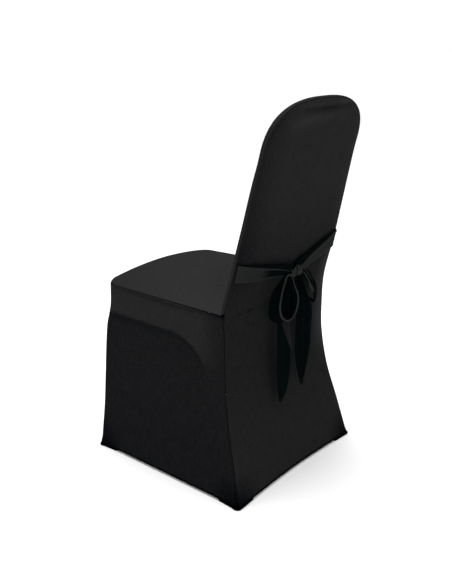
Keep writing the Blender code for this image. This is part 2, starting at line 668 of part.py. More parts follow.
def add_panels(finish, pocket_finish, collection):
    arc = steps((BAND, 4), (1.0 - BAND, 10), (1.0, 4))
    ring = [0.0, 0.04, BACK_BAND * BULGE_SHARE, BAND, 0.18, BACK_BAND]
    far_ring = [1.0 - value for value in reversed(ring)]
    across = ring + steps((1.0, 10), start=BACK_BAND, end=1.0 - BACK_BAND)[1:-1] + far_ring
    inside_up = steps((1.0, 10), start=0.0, end=1.0 - BACK_BAND)[:-1] + far_ring
    skirt_up = steps((0.62, 6), (0.90, 6), (TOP_ARC_START, 1), (1.0, 2))
    rear_heights = [mix(HEM_HEIGHT, SEAT_REAR_HEIGHT - 0.0008, v / TOP_ARC_START) for v in skirt_up[:-2]]
    rear_heights += [mix(SEAT_REAR_HEIGHT, SHOULDER, v) for v in inside_up]
    rear_up = [(height - HEM_HEIGHT) / (SHOULDER - HEM_HEIGHT) for height in rear_heights]
    add("rear_panel", cloth_mesh(rear_panel, across, rear_up, CLOTH, sewn="left right top"),
        finish, collection)
    add("inside_back", cloth_mesh(inside_back, across, inside_up, CLOTH, flip=True,
                                  sewn="left right top bottom"), finish, collection)
    add("seat_panel", cloth_mesh(seat_panel, arc, steps((1.0 - BAND, 12), (1.0, 4)), CLOTH,
                                 sewn="left right top"), finish, collection)
    side = steps((REAR_ARC_END, 3), (0.46, 11), (FRONT_ARC_START, 6), (1.0, 4))
    add("left_skirt", cloth_mesh(left_skirt, side, skirt_up, CLOTH, flip=True, sewn="left right top"),
        finish, collection)
    other = [1.0 - value for value in reversed(side)]
    add("right_skirt", cloth_mesh(right_skirt, other, skirt_up, CLOTH, flip=True, sewn="left right top"),
        finish, collection)
    front = steps((FRONT_ARC, 4), (1.0 - FRONT_ARC, 10), (1.0, 4))
    add("front_skirt", cloth_mesh(front_skirt, front, skirt_up, CLOTH, flip=True, sewn="left right top"),
        finish, collection)

    round_hem = steps((0.32, 2), (0.5, 2), (0.68, 2), (1.0, 2))
    shelf = steps((SHELF_END, 2), (TURN_END, 3), (1.0, 1))
    places = {
        "left_rear_pocket": lambda u, v: pocket(rear_corner, u, v),
        "left_front_pocket": lambda u, v: pocket(front_corner, u, v),
    }
    places["right_rear_pocket"] = mirror_pocket(places["left_rear_pocket"])
    places["right_front_pocket"] = mirror_pocket(places["left_front_pocket"])
    for name, place in places.items():
        add(name, cloth_mesh(place, round_hem, shelf, POCKET_CLOTH), pocket_finish, collection)


def ball(name, middle, radii, finish, collection):
    bm = bmesh.new()
    bmesh.ops.create_uvsphere(bm, u_segments=14, v_segments=9, radius=1.0)
    bmesh.ops.scale(bm, vec=radii, verts=bm.verts)
    bmesh.ops.translate(bm, vec=middle, verts=bm.verts)
    mesh = bpy.data.meshes.new(name)
    bm.to_mesh(mesh)
    bm.free()
    mesh.shade_smooth()
    return add(name, mesh, finish, collection)


def add_tie(name, middle, radii, strips, finish, collection, joined):
    """A tie in one piece: its gathers at the knot, with its band, loop and tail joined on."""
    tie = ball(name, middle, radii, finish, collection)
    for kind, (place, along) in strips.items():
        mesh = cloth_mesh(place, along, steps((1.0, 3)), TIE_CLOTH, both_sides=True)
        strip = add(f"{name}_{kind}", mesh, finish, joined)
        strip.hide_render = True
        strip.display_type = "WIRE"
        union = tie.modifiers.new(kind, "BOOLEAN")
        union.operation = "UNION"
        union.object = strip
        union.use_self = True


def add_ties(finish, collection, joined):
    gather = Vector(KNOT) + Vector(GATHER_OFFSET)
    add_tie("left_tie", gather, GATHER_RADII, {
        "band": (lambda u, v: band(LEFT_BAND, u, v), steps((0.06, 3), (1.0, 11))),
        "loop": (lambda u, v: ribbon(LEFT_LOOP, u, v), steps((1.0, 30))),
        "tail": (lambda u, v: ribbon(LEFT_TAIL, u, v), steps((1.0, 14))),
    }, finish, collection, joined)
    add_tie("right_tie", Vector(KNOT), KNOT_RADII, {
        "band": (lambda u, v: band(RIGHT_BAND, u, v), steps((0.06, 3), (1.0, 11))),
        "loop": (lambda u, v: ribbon(RIGHT_LOOP, u, v), steps((1.0, 26))),
        "tail": (lambda u, v: ribbon(RIGHT_TAIL, u, v), steps((1.0, 14))),
    }, finish, collection, joined)


def main():
    for old in list(bpy.data.objects):
        bpy.data.objects.remove(old, do_unlink=True)
    cover = bpy.data.collections.new("chair_cover")
    joined = bpy.data.collections.new("joined_strips")
    for made in (cover, joined):
        bpy.context.scene.collection.children.link(made)
    stretch_cloth = material("stretch_cloth", (0.016, 0.016, 0.018), 0.70)
    pocket_cloth = material("pocket_cloth", (0.008, 0.008, 0.009), 0.75)
    tie_cloth = material("tie_cloth", (0.012, 0.012, 0.013), 0.50)
    add_panels(stretch_cloth, pocket_cloth, cover)
    add_ties(tie_cloth, cover, joined)


main()
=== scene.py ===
"""Fitted black stretch cover for a banquet chair, closed behind its back by two ties in a bow.

The cover stands as it does over the chair: +Z up, the sitter faces -Y, the rear panel faces +Y,
the sitter's left is +X, and lengths are in metres. Each panel is a fine grid laid out over the same
shape as its solid, and its seams, hems, gathers and creases are then pressed into it.
"""

import math
from collections import namedtuple
from functools import partial

import bmesh
import bpy
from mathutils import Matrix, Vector


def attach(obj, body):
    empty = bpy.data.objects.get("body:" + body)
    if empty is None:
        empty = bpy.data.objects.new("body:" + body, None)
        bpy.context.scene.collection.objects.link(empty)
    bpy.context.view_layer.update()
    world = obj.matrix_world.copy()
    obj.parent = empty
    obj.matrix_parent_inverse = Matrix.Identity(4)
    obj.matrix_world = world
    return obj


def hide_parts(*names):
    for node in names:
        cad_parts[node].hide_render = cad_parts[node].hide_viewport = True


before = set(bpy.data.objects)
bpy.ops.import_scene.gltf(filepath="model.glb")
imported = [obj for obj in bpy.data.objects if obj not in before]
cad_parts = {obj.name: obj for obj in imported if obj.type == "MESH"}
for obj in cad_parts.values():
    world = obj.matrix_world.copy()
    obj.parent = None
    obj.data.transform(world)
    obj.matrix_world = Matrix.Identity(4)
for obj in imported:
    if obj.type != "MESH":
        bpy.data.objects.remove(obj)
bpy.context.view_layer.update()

# Cloth and seams
CLOTH = 0.002             # thickness of the stretch cloth
POCKET_CLOTH = 0.0026     # the foot pockets are doubled
TIE_CLOTH = 0.002         # each tie is a flat tube of two thin layers
SEAM_SETBACK = 0.00015    # each piece stops this far from its seam line
SEAM_ROUND = 0.012        # radius of the cloth over the rear seams
SEAT_ROUND = 0.010        # radius of the cloth over the seat's edge
HEM_HEIGHT = 0.006        # the hem hangs just clear of the floor between the feet
STEP = 0.01               # a short step of u or v, to find which way a piece runs

# The rear corner seams, from the floor to the top of the back
REAR_SEAM = (
    # height, half width, depth behind the middle
    (0.000, 0.2455, 0.2190),
    (0.110, 0.2300, 0.1900),
    (0.210, 0.2155, 0.1625),
    (0.310, 0.2060, 0.1480),
    (0.385, 0.2050, 0.1460),
    (0.460, 0.2080, 0.1480),
    (0.560, 0.2060, 0.1735),
    (0.660, 0.2000, 0.1975),
    (0.760, 0.1940, 0.2208),
    (0.812, 0.1900, 0.2346),
    (0.927, 0.1900, 0.2650),
)

# The front corners, where the side and front panels would meet if they weren't rounded
FRONT_CORNER = (
    # height, half width, depth in front of the middle, corner radius
    (0.000, 0.2290, 0.2700, 0.014),
    (0.120, 0.2210, 0.2600, 0.015),
    (0.200, 0.2175, 0.2560, 0.016),
    (0.340, 0.2120, 0.2500, 0.022),
    (0.400, 0.2085, 0.2440, 0.034),
    (0.470, 0.2085, 0.2425, 0.038),
)

# The rounded top of the back, a superellipse above the height where it springs
CREST_SPRING = 0.812
CREST_RISE = 0.115
CREST_HALF_WIDTH = 0.190
CREST_POWER = 2.7
SHOULDER_SHARE = 0.64     # share of the rise where the sides of the panels end and their top begins
SHOULDER = CREST_SPRING + SHOULDER_SHARE * CREST_RISE

# The padded back: the inside panel bulges past the seam and domes forward
BULGE_SIDE = 0.0012
BULGE_TOP = 0.005
WRAP_SIDE = 0.005         # how far forward of the seam it is widest, at its sides
WRAP_TOP = 0.009          # and at its top
WRAP_EASE = 0.05          # it begins to widen this far below the spring of the crest
BACK_THICKNESS = 0.040
BACK_POWER = 2.0
BACK_RIM_SCALE = 0.90     # where the dome's steep rim ends
SWELL_POWER = 2           # how the rear panel's swell and hollows fall away to its seams
REAR_CROWN = 0.005        # its swell across the back
REAR_HOLLOW = 0.004       # and how far it is drawn in between the legs
HOLLOW_TOP = (0.36, 0.52)  # heights over which the hollow turns into the swell
HEM_HOLLOW = 0.007        # and at the hem, between the feet
HEM_HOLLOW_TOP = 0.12     # height up to which the hem draws the panel in
SWELL_TOP = (0.80, 0.92)  # heights over which the swell fades out under the crest

# The seat
SEAT_REAR_HEIGHT = 0.4550
SEAT_FRONT_HEIGHT = 0.4620
SEAT_REAR_DEPTH = 0.110
SEAT_CROWN = 0.045
SEAT_SIDE_POWER = 0.9     # how the crown falls away to the sides
SEAT_FRONT_POWER = 6.0    # and to the front
SEAT_FRONT_SHARE = 0.44   # share of the crown that is left at the front edge
SEAT_REAR_SHARE = 0.30    # and at the crease
CREASE_GAP = 0.0010       # between the seat panel and the inside panel's lower edge
CREASE_SHARE = 0.35       # share of the inside panel's v that is lifted along the crease
SEAT_CROWN_RUN = 0.45     # share of the seat over which its crown rises from the crease
SEAT_REAR_LINE = 0.15     # depth at which the seat's edge has its rear height
SEAT_LENGTH = 0.39        # from there to the depth at which it has its front height

# The side panels are taut over the seat's rail and the rear leg and hollow below them
RAIL_HEIGHT = 0.3895
RAIL_SLOPE = 0.03
LEG_FRONT_LOW = 0.2200    # the leg line's place at the floor
LEG_FRONT_SLOPE = 0.409
ARCH_RADIUS = 0.076
HOLLOW = 0.008
HOLLOW_EASE = 0.022
HOLLOW_FOOT_SHARE = 0.35  # share of a hollow that is left at the hem
HOLLOW_FULL = 0.25        # and the height where it is whole
HOLLOW_FRONT_RUN = 0.2    # share of u over which it fades out to the front corner
HOLLOW_TOP_RUN = 0.1      # and of v, to the seat's edge
RAIL_DEPTH = 0.2          # depth in front of the middle where the rail line has RAIL_HEIGHT
FRONT_RAIL_EASE = 0.05    # height over which the front panel sinks in below the rail
FRONT_HOLLOW_RUN = 0.3    # share of u over which it sinks in from each corner
REAR_EDGE_ROUND = 0.001   # radius of the seat's edge where it meets the rear seam
REAR_EDGE_RUN = 0.08      # share of u over which it grows to its full radius

# Foot pockets
POCKET_HEIGHT = 0.0052
POCKET_ROUND = 0.003
POCKET_SHELF = 0.012
POCKET_SWELL = 0.004      # how far it stands out past the hem
REAR_POCKET_SIDE = 0.14   # share of the side hem that a rear pocket takes
REAR_POCKET_REAR = 0.198  # and of the rear hem
FRONT_POCKET_FRONT = 0.19  # share of the front hem that a front pocket takes
FRONT_POCKET_SIDE = 0.20  # and of the side hem
SHELF_END = 0.6           # share of a pocket's v where its shelf ends
TURN_END = 0.85           # and where its turn-up begins

# The bow
KNOT = (-0.027, 0.1850, 0.5170)
KNOT_RADII = (0.0135, 0.0095, 0.0125)
GATHER_RADII = (0.0085, 0.0085, 0.0100)
GATHER_OFFSET = (0.0230, -0.0005, -0.0040)
BAND_CLEARANCE = 0.0035
ROOT_CLEARANCE = 0.0004
ROOT_EASE = 0.2           # share of a band over which it lifts off the seam
KNOT_EASE = 0.6           # and where it begins to rise to the knot

LEFT_BAND = (
    # run, x, upper edge, lower edge
    (0.00, 0.2030, 0.5780, 0.5360),
    (0.25, 0.1550, 0.5640, 0.5260),
    (0.55, 0.0940, 0.5480, 0.5170),
    (0.80, 0.0370, 0.5330, 0.5120),
    (1.00, -0.0020, 0.5200, 0.5080),
)
RIGHT_BAND = (
    # run, x, upper edge, lower edge
    (0.00, -0.2030, 0.5850, 0.5370),
    (0.25, -0.1600, 0.5680, 0.5300),
    (0.60, -0.1000, 0.5450, 0.5190),
    (0.85, -0.0600, 0.5300, 0.5130),
    (1.00, -0.0300, 0.5230, 0.5110),
)
LEFT_LOOP = (
    # run, rim x, y, z, inner edge x, y, z, cup
    (0.00, -0.0030, 0.1880, 0.5150, -0.0030, 0.1800, 0.5110, 0.0000),
    (0.09, 0.0240, 0.1910, 0.5140, 0.0260, 0.1790, 0.5060, 0.0010),
    (0.20, 0.0480, 0.1990, 0.4950, 0.0520, 0.1740, 0.4880, 0.0030),
    (0.30, 0.0620, 0.2030, 0.4720, 0.0670, 0.1720, 0.4650, 0.0040),
    (0.39, 0.0690, 0.2050, 0.4500, 0.0720, 0.1720, 0.4430, 0.0030),
    (0.47, 0.0620, 0.2060, 0.4260, 0.0680, 0.1720, 0.4160, 0.0000),
    (0.54, 0.0410, 0.2060, 0.4110, 0.0440, 0.1720, 0.3990, 0.0000),
    (0.61, 0.0190, 0.2050, 0.4090, 0.0190, 0.1720, 0.4000, 0.0000),
    (0.68, 0.0010, 0.2040, 0.4200, 0.0020, 0.1730, 0.4120, 0.0010),
    (0.77, -0.0110, 0.2020, 0.4430, -0.0070, 0.1740, 0.4380, 0.0020),
    (0.85, -0.0110, 0.2000, 0.4640, -0.0050, 0.1750, 0.4600, 0.0020),
    (0.93, -0.0030, 0.1950, 0.4870, 0.0030, 0.1770, 0.4840, 0.0010),
    (1.00, -0.0010, 0.1890, 0.5080, -0.0010, 0.1800, 0.5060, 0.0000),
)
RIGHT_LOOP = (
    # run, rim x, y, z, inner edge x, y, z, cup
    (0.00, -0.0330, 0.1900, 0.5120, -0.0350, 0.1840, 0.5180, 0.0000),
    (0.10, -0.0400, 0.1940, 0.5020, -0.0600, 0.1810, 0.5140, 0.0010),
    (0.22, -0.0500, 0.1975, 0.4860, -0.0870, 0.1770, 0.5000, 0.0030),
    (0.34, -0.0600, 0.1990, 0.4720, -0.1110, 0.1740, 0.4820, 0.0040),
    (0.46, -0.0730, 0.1995, 0.4560, -0.1290, 0.1730, 0.4590, 0.0040),
    (0.56, -0.0830, 0.1985, 0.4380, -0.1340, 0.1730, 0.4350, 0.0020),
    (0.64, -0.0880, 0.1960, 0.4240, -0.1240, 0.1760, 0.4140, 0.0000),
    (0.72, -0.0830, 0.1930, 0.4240, -0.1120, 0.1740, 0.4180, -0.0020),
    (0.84, -0.0610, 0.1910, 0.4450, -0.0780, 0.1730, 0.4420, -0.0020),
    (1.00, -0.0320, 0.1870, 0.5050, -0.0320, 0.1800, 0.5050, 0.0000),
)
LEFT_TAIL = (
    # run, rim x, y, z, inner edge x, y, z, cup
    (0.00, -0.0060, 0.1840, 0.5080, -0.0010, 0.1780, 0.5080, 0.0000),
    (0.18, 0.0080, 0.1880, 0.4510, 0.0210, 0.1720, 0.4500, 0.0010),
    (0.36, 0.0130, 0.1920, 0.3980, 0.0330, 0.1710, 0.3970, 0.0030),
    (0.55, 0.0020, 0.1930, 0.3320, 0.0360, 0.1730, 0.3360, 0.0050),
    (0.72, 0.0010, 0.1930, 0.2720, 0.0420, 0.1770, 0.2800, 0.0050),
    (0.88, 0.0120, 0.1900, 0.2200, 0.0400, 0.1810, 0.2180, 0.0030),
    (1.00, 0.0310, 0.1865, 0.1890, 0.0360, 0.1840, 0.1890, 0.0000),
)
RIGHT_TAIL = (
    # run, rim x, y, z, inner edge x, y, z, cup
    (0.00, -0.0350, 0.1880, 0.5080, -0.0330, 0.1810, 0.5080, 0.0000),
    (0.18, -0.0550, 0.1950, 0.4590, -0.0390, 0.1760, 0.4600, 0.0010),
    (0.34, -0.0690, 0.2020, 0.4190, -0.0430, 0.1740, 0.4200, 0.0030),
    (0.52, -0.0700, 0.2020, 0.3670, -0.0410, 0.1740, 0.3690, 0.0030),
    (0.70, -0.0700, 0.2000, 0.3100, -0.0410, 0.1740, 0.3120, 0.0030),
    (0.86, -0.0630, 0.1960, 0.2590, -0.0450, 0.1760, 0.2620, 0.0020),
    (1.00, -0.0570, 0.1890, 0.2070, -0.0530, 0.1860, 0.2070, 0.0000),
)

# How the grids are divided
BAND = 0.12               # share of u or v that rounds over a seam
BACK_BAND = 0.24          # the inside panel also turns its deep rim there
REAR_REACH = (SHOULDER - HEM_HEIGHT) / (SHOULDER - SEAT_REAR_HEIGHT)
BULGE_SHARE = 0.35        # share of that band up to the widest line of the bulge
REAR_ARC_END = 0.05       # share of a side panel's u that rounds over the rear seam
FRONT_ARC_START = 0.88    # and where its front corner begins
FRONT_ARC = 0.10          # share of the front panel's u in each corner
TOP_ARC_START = 0.95      # share of a skirt's v where the seat's edge begins
HALF_TURN = math.radians(45.0)
SEAT_TURN = math.radians(66.0)


def mix(a, b, share):
    return a + (b - a) * share


def ease(share):
    """Goes smoothly from 0 to 1."""
    share = min(max(share, 0.0), 1.0)
    return share * share * (3.0 - 2.0 * share)


def ease_between(ends, value):
    low, high = ends
    return ease((value - low) / (high - low))


def read(table, key):
    """Reads a table at a key of its first column, smoothly between the rows."""
    keys = [row[0] for row in table]
    key = min(max(key, keys[0]), keys[-1])
    i = 0
    while i < len(keys) - 2 and key > keys[i + 1]:
        i += 1
    span = keys[i + 1] - keys[i]
    s = (key - keys[i]) / span
    values = []
    for column in range(1, len(table[0])):
        def slope(j):
            low, high = max(j - 1, 0), min(j + 1, len(keys) - 1)
            return (table[high][column] - table[low][column]) / (keys[high] - keys[low])
        a, b = table[i][column], table[i + 1][column]
        values.append(
            (2 * s**3 - 3 * s**2 + 1) * a
            + (s**3 - 2 * s**2 + s) * span * slope(i)
            + (3 * s**2 - 2 * s**3) * b
            + (s**3 - s**2) * span * slope(i + 1)
        )
    return values


# Outline of the back

def back_half_width(height, scale=1.0, side=0.0, top=0.0):
    """Half width of the back's outline, scaled about its middle and grown at its sides and top."""
    if height <= CREST_SPRING:
        return scale * (read(REAR_SEAM, height)[0] + side)
    share = (height - CREST_SPRING) / (scale * (CREST_RISE + top))
    return scale * (CREST_HALF_WIDTH + side) * max(0.0, 1.0 - share**CREST_POWER) ** (1.0 / CREST_POWER)


def back_outline(edge, t, low, scale=1.0, side=0.0, top=0.0):
    """A point (x, z) of the back's outline: up the left, over the top, or up the right."""
    if edge == "top":
        start = math.asin(SHOULDER_SHARE ** (CREST_POWER / 2.0))
        angle = mix(start, math.pi - start, t)
        along = math.cos(angle)
        x = math.copysign(abs(along) ** (2.0 / CREST_POWER), along) * scale * (CREST_HALF_WIDTH + side)
        return x, CREST_SPRING + math.sin(angle) ** (2.0 / CREST_POWER) * scale * (CREST_RISE + top)
    shoulder = CREST_SPRING + SHOULDER_SHARE * scale * (CREST_RISE + top)
    height = mix(low, shoulder, t)
    x = back_half_width(height, scale, side, top)
    return (x if edge == "left" else -x), height


def seam_depth(height):
    return read(REAR_SEAM, height)[1]


def nearest_edge(u, v, reach=1.0):
    """How far (u, v) is from the left, right or top edge, which one it is, and where along it.

    reach is how much larger a step of v is than a step of u.
    """
    inset = min(u, 1.0 - u, (1.0 - v) * reach)
    if inset == (1.0 - v) * reach:
        return inset, "top", (u - inset) / max(1.0 - 2.0 * inset, 1e-9)
    return inset, ("left" if inset == u else "right"), v / (1.0 - inset / reach)


def fill(edge, u, v):
    """A smooth patch between three edge curves and a straight bottom."""
    left, right, top = edge("left", v), edge("right", v), edge("top", u)
    bottom = mix(edge("left", 0.0), edge("right", 0.0), u)
    corners = mix(bottom, mix(edge("left", 1.0), edge("right", 1.0), u), v)
    return mix(left, right, u) + mix(bottom, top, v) - corners


# The panels

def rear_surface(x, height):
    """Depth of the rear panel away from its seams."""
    across = (1.0 - min(1.0, abs(x) / back_half_width(min(height, CREST_SPRING))) ** 2) ** SWELL_POWER
    swell = mix(-HEM_HOLLOW, -REAR_HOLLOW, ease(height / HEM_HOLLOW_TOP))
    swell = mix(swell, REAR_CROWN, ease_between(HOLLOW_TOP, height)) * (1.0 - ease_between(SWELL_TOP, height))
    return seam_depth(height) + SEAM_ROUND * (1.0 - math.cos(HALF_TURN)) + swell * across


def rear_panel(u, v):
    inset, edge, t = nearest_edge(u, v, REAR_REACH)
    if inset < BAND:
        turn = HALF_TURN * (1.0 - inset / BAND)
        shrink = SEAM_ROUND * (math.sin(HALF_TURN) - math.sin(turn))
        x, height = back_outline(edge, t, HEM_HEIGHT, side=-shrink, top=-shrink)
        return Vector((x, seam_depth(height) + SEAM_ROUND * (math.cos(turn) - math.cos(HALF_TURN)), height))

    def rim(side, t):
        shrink = SEAM_ROUND * math.sin(HALF_TURN)
        x, height = back_outline(side, t, HEM_HEIGHT, side=-shrink, top=-shrink)
        return Vector((x, 0.0, height))

    point = fill(rim, (u - BAND) / (1.0 - 2.0 * BAND), v / (1.0 - BAND / REAR_REACH))
    point.y = rear_surface(point.x, point.z)
    return point


def wrap_depth(height):
    """How far forward of the seam the inside panel is widest."""
    share = (height - CREST_SPRING + WRAP_EASE) / (CREST_RISE + WRAP_EASE)
    return mix(WRAP_SIDE, WRAP_TOP, ease(share))


def back_dome(x, height):
    """Thickness of the padded back in front of the seam."""
    across = abs(x) / (back_half_width(min(height, CREST_SPRING)) + BULGE_SIDE)
    up = max(0.0, height - CREST_SPRING) / (CREST_RISE + BULGE_TOP)
    radius = min(1.0, (across**CREST_POWER + up**CREST_POWER) ** (1.0 / CREST_POWER))
    return mix(wrap_depth(height), BACK_THICKNESS, (1.0 - radius**BACK_POWER) ** (1.0 / BACK_POWER))


def crease_height(x):
    """Height of the crease between the seat and the back."""
    depth = seam_depth(SEAT_REAR_HEIGHT) - back_dome(x, SEAT_REAR_HEIGHT)
    return seat_height(x, depth, SEAT_ROUND * (1.0 - math.cos(SEAT_TURN)))


def crease_depth(x):
    """Where the seat panel ends, just under the inside panel's lower edge."""
    height = crease_height(x)
    return seam_depth(height) - max(0.001, back_dome(x, height) - CLOTH)


def inside_back(u, v):
    inset, edge, t = nearest_edge(u, v)
    low = SEAT_REAR_HEIGHT

    def rim(side, t, scale=BACK_RIM_SCALE):
        x, height = back_outline(side, t, low, scale, BULGE_SIDE, BULGE_TOP)
        return Vector((x, 0.0, height))

    if inset < BACK_BAND * BULGE_SHARE:
        s = inset / (BACK_BAND * BULGE_SHARE)
        grow = s * (2.0 - s)
        x, height = back_outline(edge, t, low, 1.0, BULGE_SIDE * grow, BULGE_TOP * grow)
        point = Vector((x, seam_depth(height) - wrap_depth(height) * s, height))
    elif inset < BACK_BAND:
        s = (inset / BACK_BAND - BULGE_SHARE) / (1.0 - BULGE_SHARE)
        point = rim(edge, t, mix(1.0, BACK_RIM_SCALE, s * s))
        point.y = seam_depth(point.z) - back_dome(point.x, point.z)
    else:
        point = fill(rim, (u - BACK_BAND) / (1.0 - 2.0 * BACK_BAND), v / (1.0 - BACK_BAND))
        point.y = seam_depth(point.z) - back_dome(point.x, point.z)
    lift = (crease_height(point.x) + CREASE_GAP - low) * (1.0 - ease(v / CREASE_SHARE))
    point.z += lift
    point.y += seam_depth(point.z) - seam_depth(point.z - lift)
    return point


def seat_height(x, depth, inset):
    """Height of the seat: its edge falls a little to the back and its crown rises inside the edge."""
    half_width, front, _ = read(FRONT_CORNER, SEAT_FRONT_HEIGHT)
    across = max(0.0, 1.0 - (x / (half_width - inset)) ** 2) ** SEAT_SIDE_POWER
    forward = min(max((SEAT_REAR_DEPTH - depth) / (SEAT_REAR_DEPTH + front - inset), 0.0), 1.0)
    share = mix(SEAT_REAR_SHARE, 1.0, ease(forward / SEAT_CROWN_RUN))
    share *= 1.0 - (1.0 - SEAT_FRONT_SHARE) * forward**SEAT_FRONT_POWER
    edge = mix(SEAT_REAR_HEIGHT, SEAT_FRONT_HEIGHT, (SEAT_REAR_LINE - depth) / SEAT_LENGTH)
    return edge + SEAT_CROWN * across * share


def seat_outline(edge, t, inset):
    """The seat's edge in plan, set in from the side and front panels' faces."""
    half_width, front, radius = read(FRONT_CORNER, SEAT_FRONT_HEIGHT)
    half_width -= inset
    front = inset - front
    radius -= inset
    if edge == "top":
        sign = 1.0 if t < 0.5 else -1.0
        share = min(t, 1.0 - t)
        if share > BAND:
            x = (half_width - radius) * (0.5 - share) / (0.5 - BAND)
            return Vector((sign * x, front, 0.0))
        angle = HALF_TURN * (1.0 - share / BAND)
        x = half_width - radius + radius * math.sin(angle)
        return Vector((sign * x, front + radius - radius * math.cos(angle), 0.0))
    if t < 1.0 - BAND:
        x, depth = half_width, mix(crease_depth(half_width), front + radius, t / (1.0 - BAND))
    else:
        angle = HALF_TURN * (1.0 - (1.0 - t) / BAND)
        x = half_width - radius + radius * math.cos(angle)
        depth = front + radius - radius * math.sin(angle)
    return Vector((x if edge == "left" else -x, depth, 0.0))


def seat_panel(u, v):
    inset, edge, t = nearest_edge(u, v)
    if inset < BAND:
        turn = mix(HALF_TURN, SEAT_TURN, inset / BAND)
        setting = SEAT_ROUND * (1.0 - math.cos(turn))
        point = seat_outline(edge, t, setting)
        point.z = seat_height(point.x, point.y, setting) - SEAT_ROUND * (1.0 - math.sin(turn))
        return point
    across, forward = (u - BAND) / (1.0 - 2.0 * BAND), v / (1.0 - BAND)
    setting = SEAT_ROUND * (1.0 - math.cos(SEAT_TURN))

    def rim(side, t):
        return seat_outline(side, t, setting)

    point = fill(rim, across, forward)
    straight_rear = mix(rim("left", 0.0), rim("right", 0.0), across).y
    point.y += (crease_depth(point.x) - straight_rear) * (1.0 - forward) ** 2
    point.z = seat_height(point.x, point.y, setting) - SEAT_ROUND * (1.0 - math.sin(SEAT_TURN))
    return point


def past_arch(depth, height):
    """How far inside the hollow a point of a side panel is, from the line of the rail and the rear leg."""
    below = RAIL_HEIGHT - RAIL_SLOPE * (depth + RAIL_DEPTH) - height
    ahead = LEG_FRONT_LOW - LEG_FRONT_SLOPE * height - depth
    if below < ARCH_RADIUS and ahead < ARCH_RADIUS:
        return ARCH_RADIUS - math.hypot(ARCH_RADIUS - below, ARCH_RADIUS - ahead)
    return min(below, ahead)


def hollow(depth, height):
    """How far a side panel sinks in below the seat's rail and in front of the rear leg."""
    share = mix(HOLLOW_FOOT_SHARE, 1.0, ease(height / HOLLOW_FULL))
    return HOLLOW * ease(past_arch(depth, height) / HOLLOW_EASE) * share


def other_side(place):
    """The same piece on the sitter's right."""
    def mirrored_place(u, v):
        point = place(1.0 - u, v)
        point.x = -point.x
        return point
    return mirrored_place


def side_wall(u, height):
    """A side panel's plan at a height: the rear seam's round, a flat run and the front corner's round."""
    half_width, depth = read(REAR_SEAM, height)
    rear_x = half_width - SEAM_ROUND * math.cos(HALF_TURN)
    rear_y = depth - SEAM_ROUND * math.sin(HALF_TURN)
    front_x, front_y, radius = read(FRONT_CORNER, height)
    front_x -= radius
    front_y = radius - front_y
    if u < REAR_ARC_END:
        turn = HALF_TURN * (1.0 - u / REAR_ARC_END)
        out = Vector((math.cos(turn), math.sin(turn), 0.0))
        return Vector((rear_x, rear_y, height)) + SEAM_ROUND * out, out
    if u > FRONT_ARC_START:
        turn = HALF_TURN * (u - FRONT_ARC_START) / (1.0 - FRONT_ARC_START)
        out = Vector((math.cos(turn), -math.sin(turn), 0.0))
        return Vector((front_x, front_y, height)) + radius * out, out
    share = (u - REAR_ARC_END) / (FRONT_ARC_START - REAR_ARC_END)
    start = Vector((rear_x + SEAM_ROUND, rear_y, height))
    end = Vector((front_x + radius, front_y, height))
    return mix(start, end, share), Vector((1.0, 0.0, 0.0))


def front_wall(u, height):
    """The front panel's plan at a height, from the left corner seam to the right one."""
    half_width, front, radius = read(FRONT_CORNER, height)
    mirrored = u > 0.5
    near = 1.0 - u if mirrored else u
    if near < FRONT_ARC:
        turn = HALF_TURN * (1.0 + near / FRONT_ARC)
        out = Vector((math.cos(turn), -math.sin(turn), 0.0))
        point = Vector((half_width - radius, radius - front, height)) + radius * out
    else:
        out = Vector((0.0, -1.0, 0.0))
        share = (near - FRONT_ARC) / (0.5 - FRONT_ARC)
        point = Vector((mix(half_width - radius, 0.0, share), -front, height))
    if mirrored:
        point.x, out.x = -point.x, -out.x
    return point, out


def skirt(wall, u, v, edge_round=SEAT_ROUND):
    """A skirt panel: straight up from the hem, then over the seat's edge to its seam."""
    point, out = wall(u, SEAT_REAR_HEIGHT)
    setting = SEAT_ROUND * (1.0 - math.cos(HALF_TURN))
    edge_height = seat_height(point.x - out.x * setting, point.y - out.y * setting, setting)
    edge_height -= (SEAT_ROUND - edge_round) * (1.0 - math.sin(HALF_TURN))
    if v < TOP_ARC_START:
        height = mix(HEM_HEIGHT, edge_height - edge_round, v / TOP_ARC_START)
        return wall(u, height)
    turn = HALF_TURN * (v - TOP_ARC_START) / (1.0 - TOP_ARC_START)
    point, out = wall(u, edge_height - edge_round * (1.0 - math.sin(turn)))
    return point - out * edge_round * (1.0 - math.cos(turn)), out


def left_skirt(u, v):
    edge_round = mix(REAR_EDGE_ROUND, SEAT_ROUND, ease(u / REAR_EDGE_RUN))
    point, out = skirt(side_wall, u, v, edge_round)
    fade = ease((1.0 - u) / HOLLOW_FRONT_RUN) * ease((1.0 - v) / HOLLOW_TOP_RUN)
    return point - out * hollow(point.y, point.z) * fade


def front_skirt(u, v):
    point, out = skirt(front_wall, u, v)
    between = ease((0.5 - abs(u - 0.5)) / FRONT_HOLLOW_RUN)
    sink = HOLLOW * ease((RAIL_HEIGHT - point.z) / FRONT_RAIL_EASE)
    sink *= mix(HOLLOW_FOOT_SHARE, 1.0, ease(point.z / HOLLOW_FULL))
    return point - out * sink * between


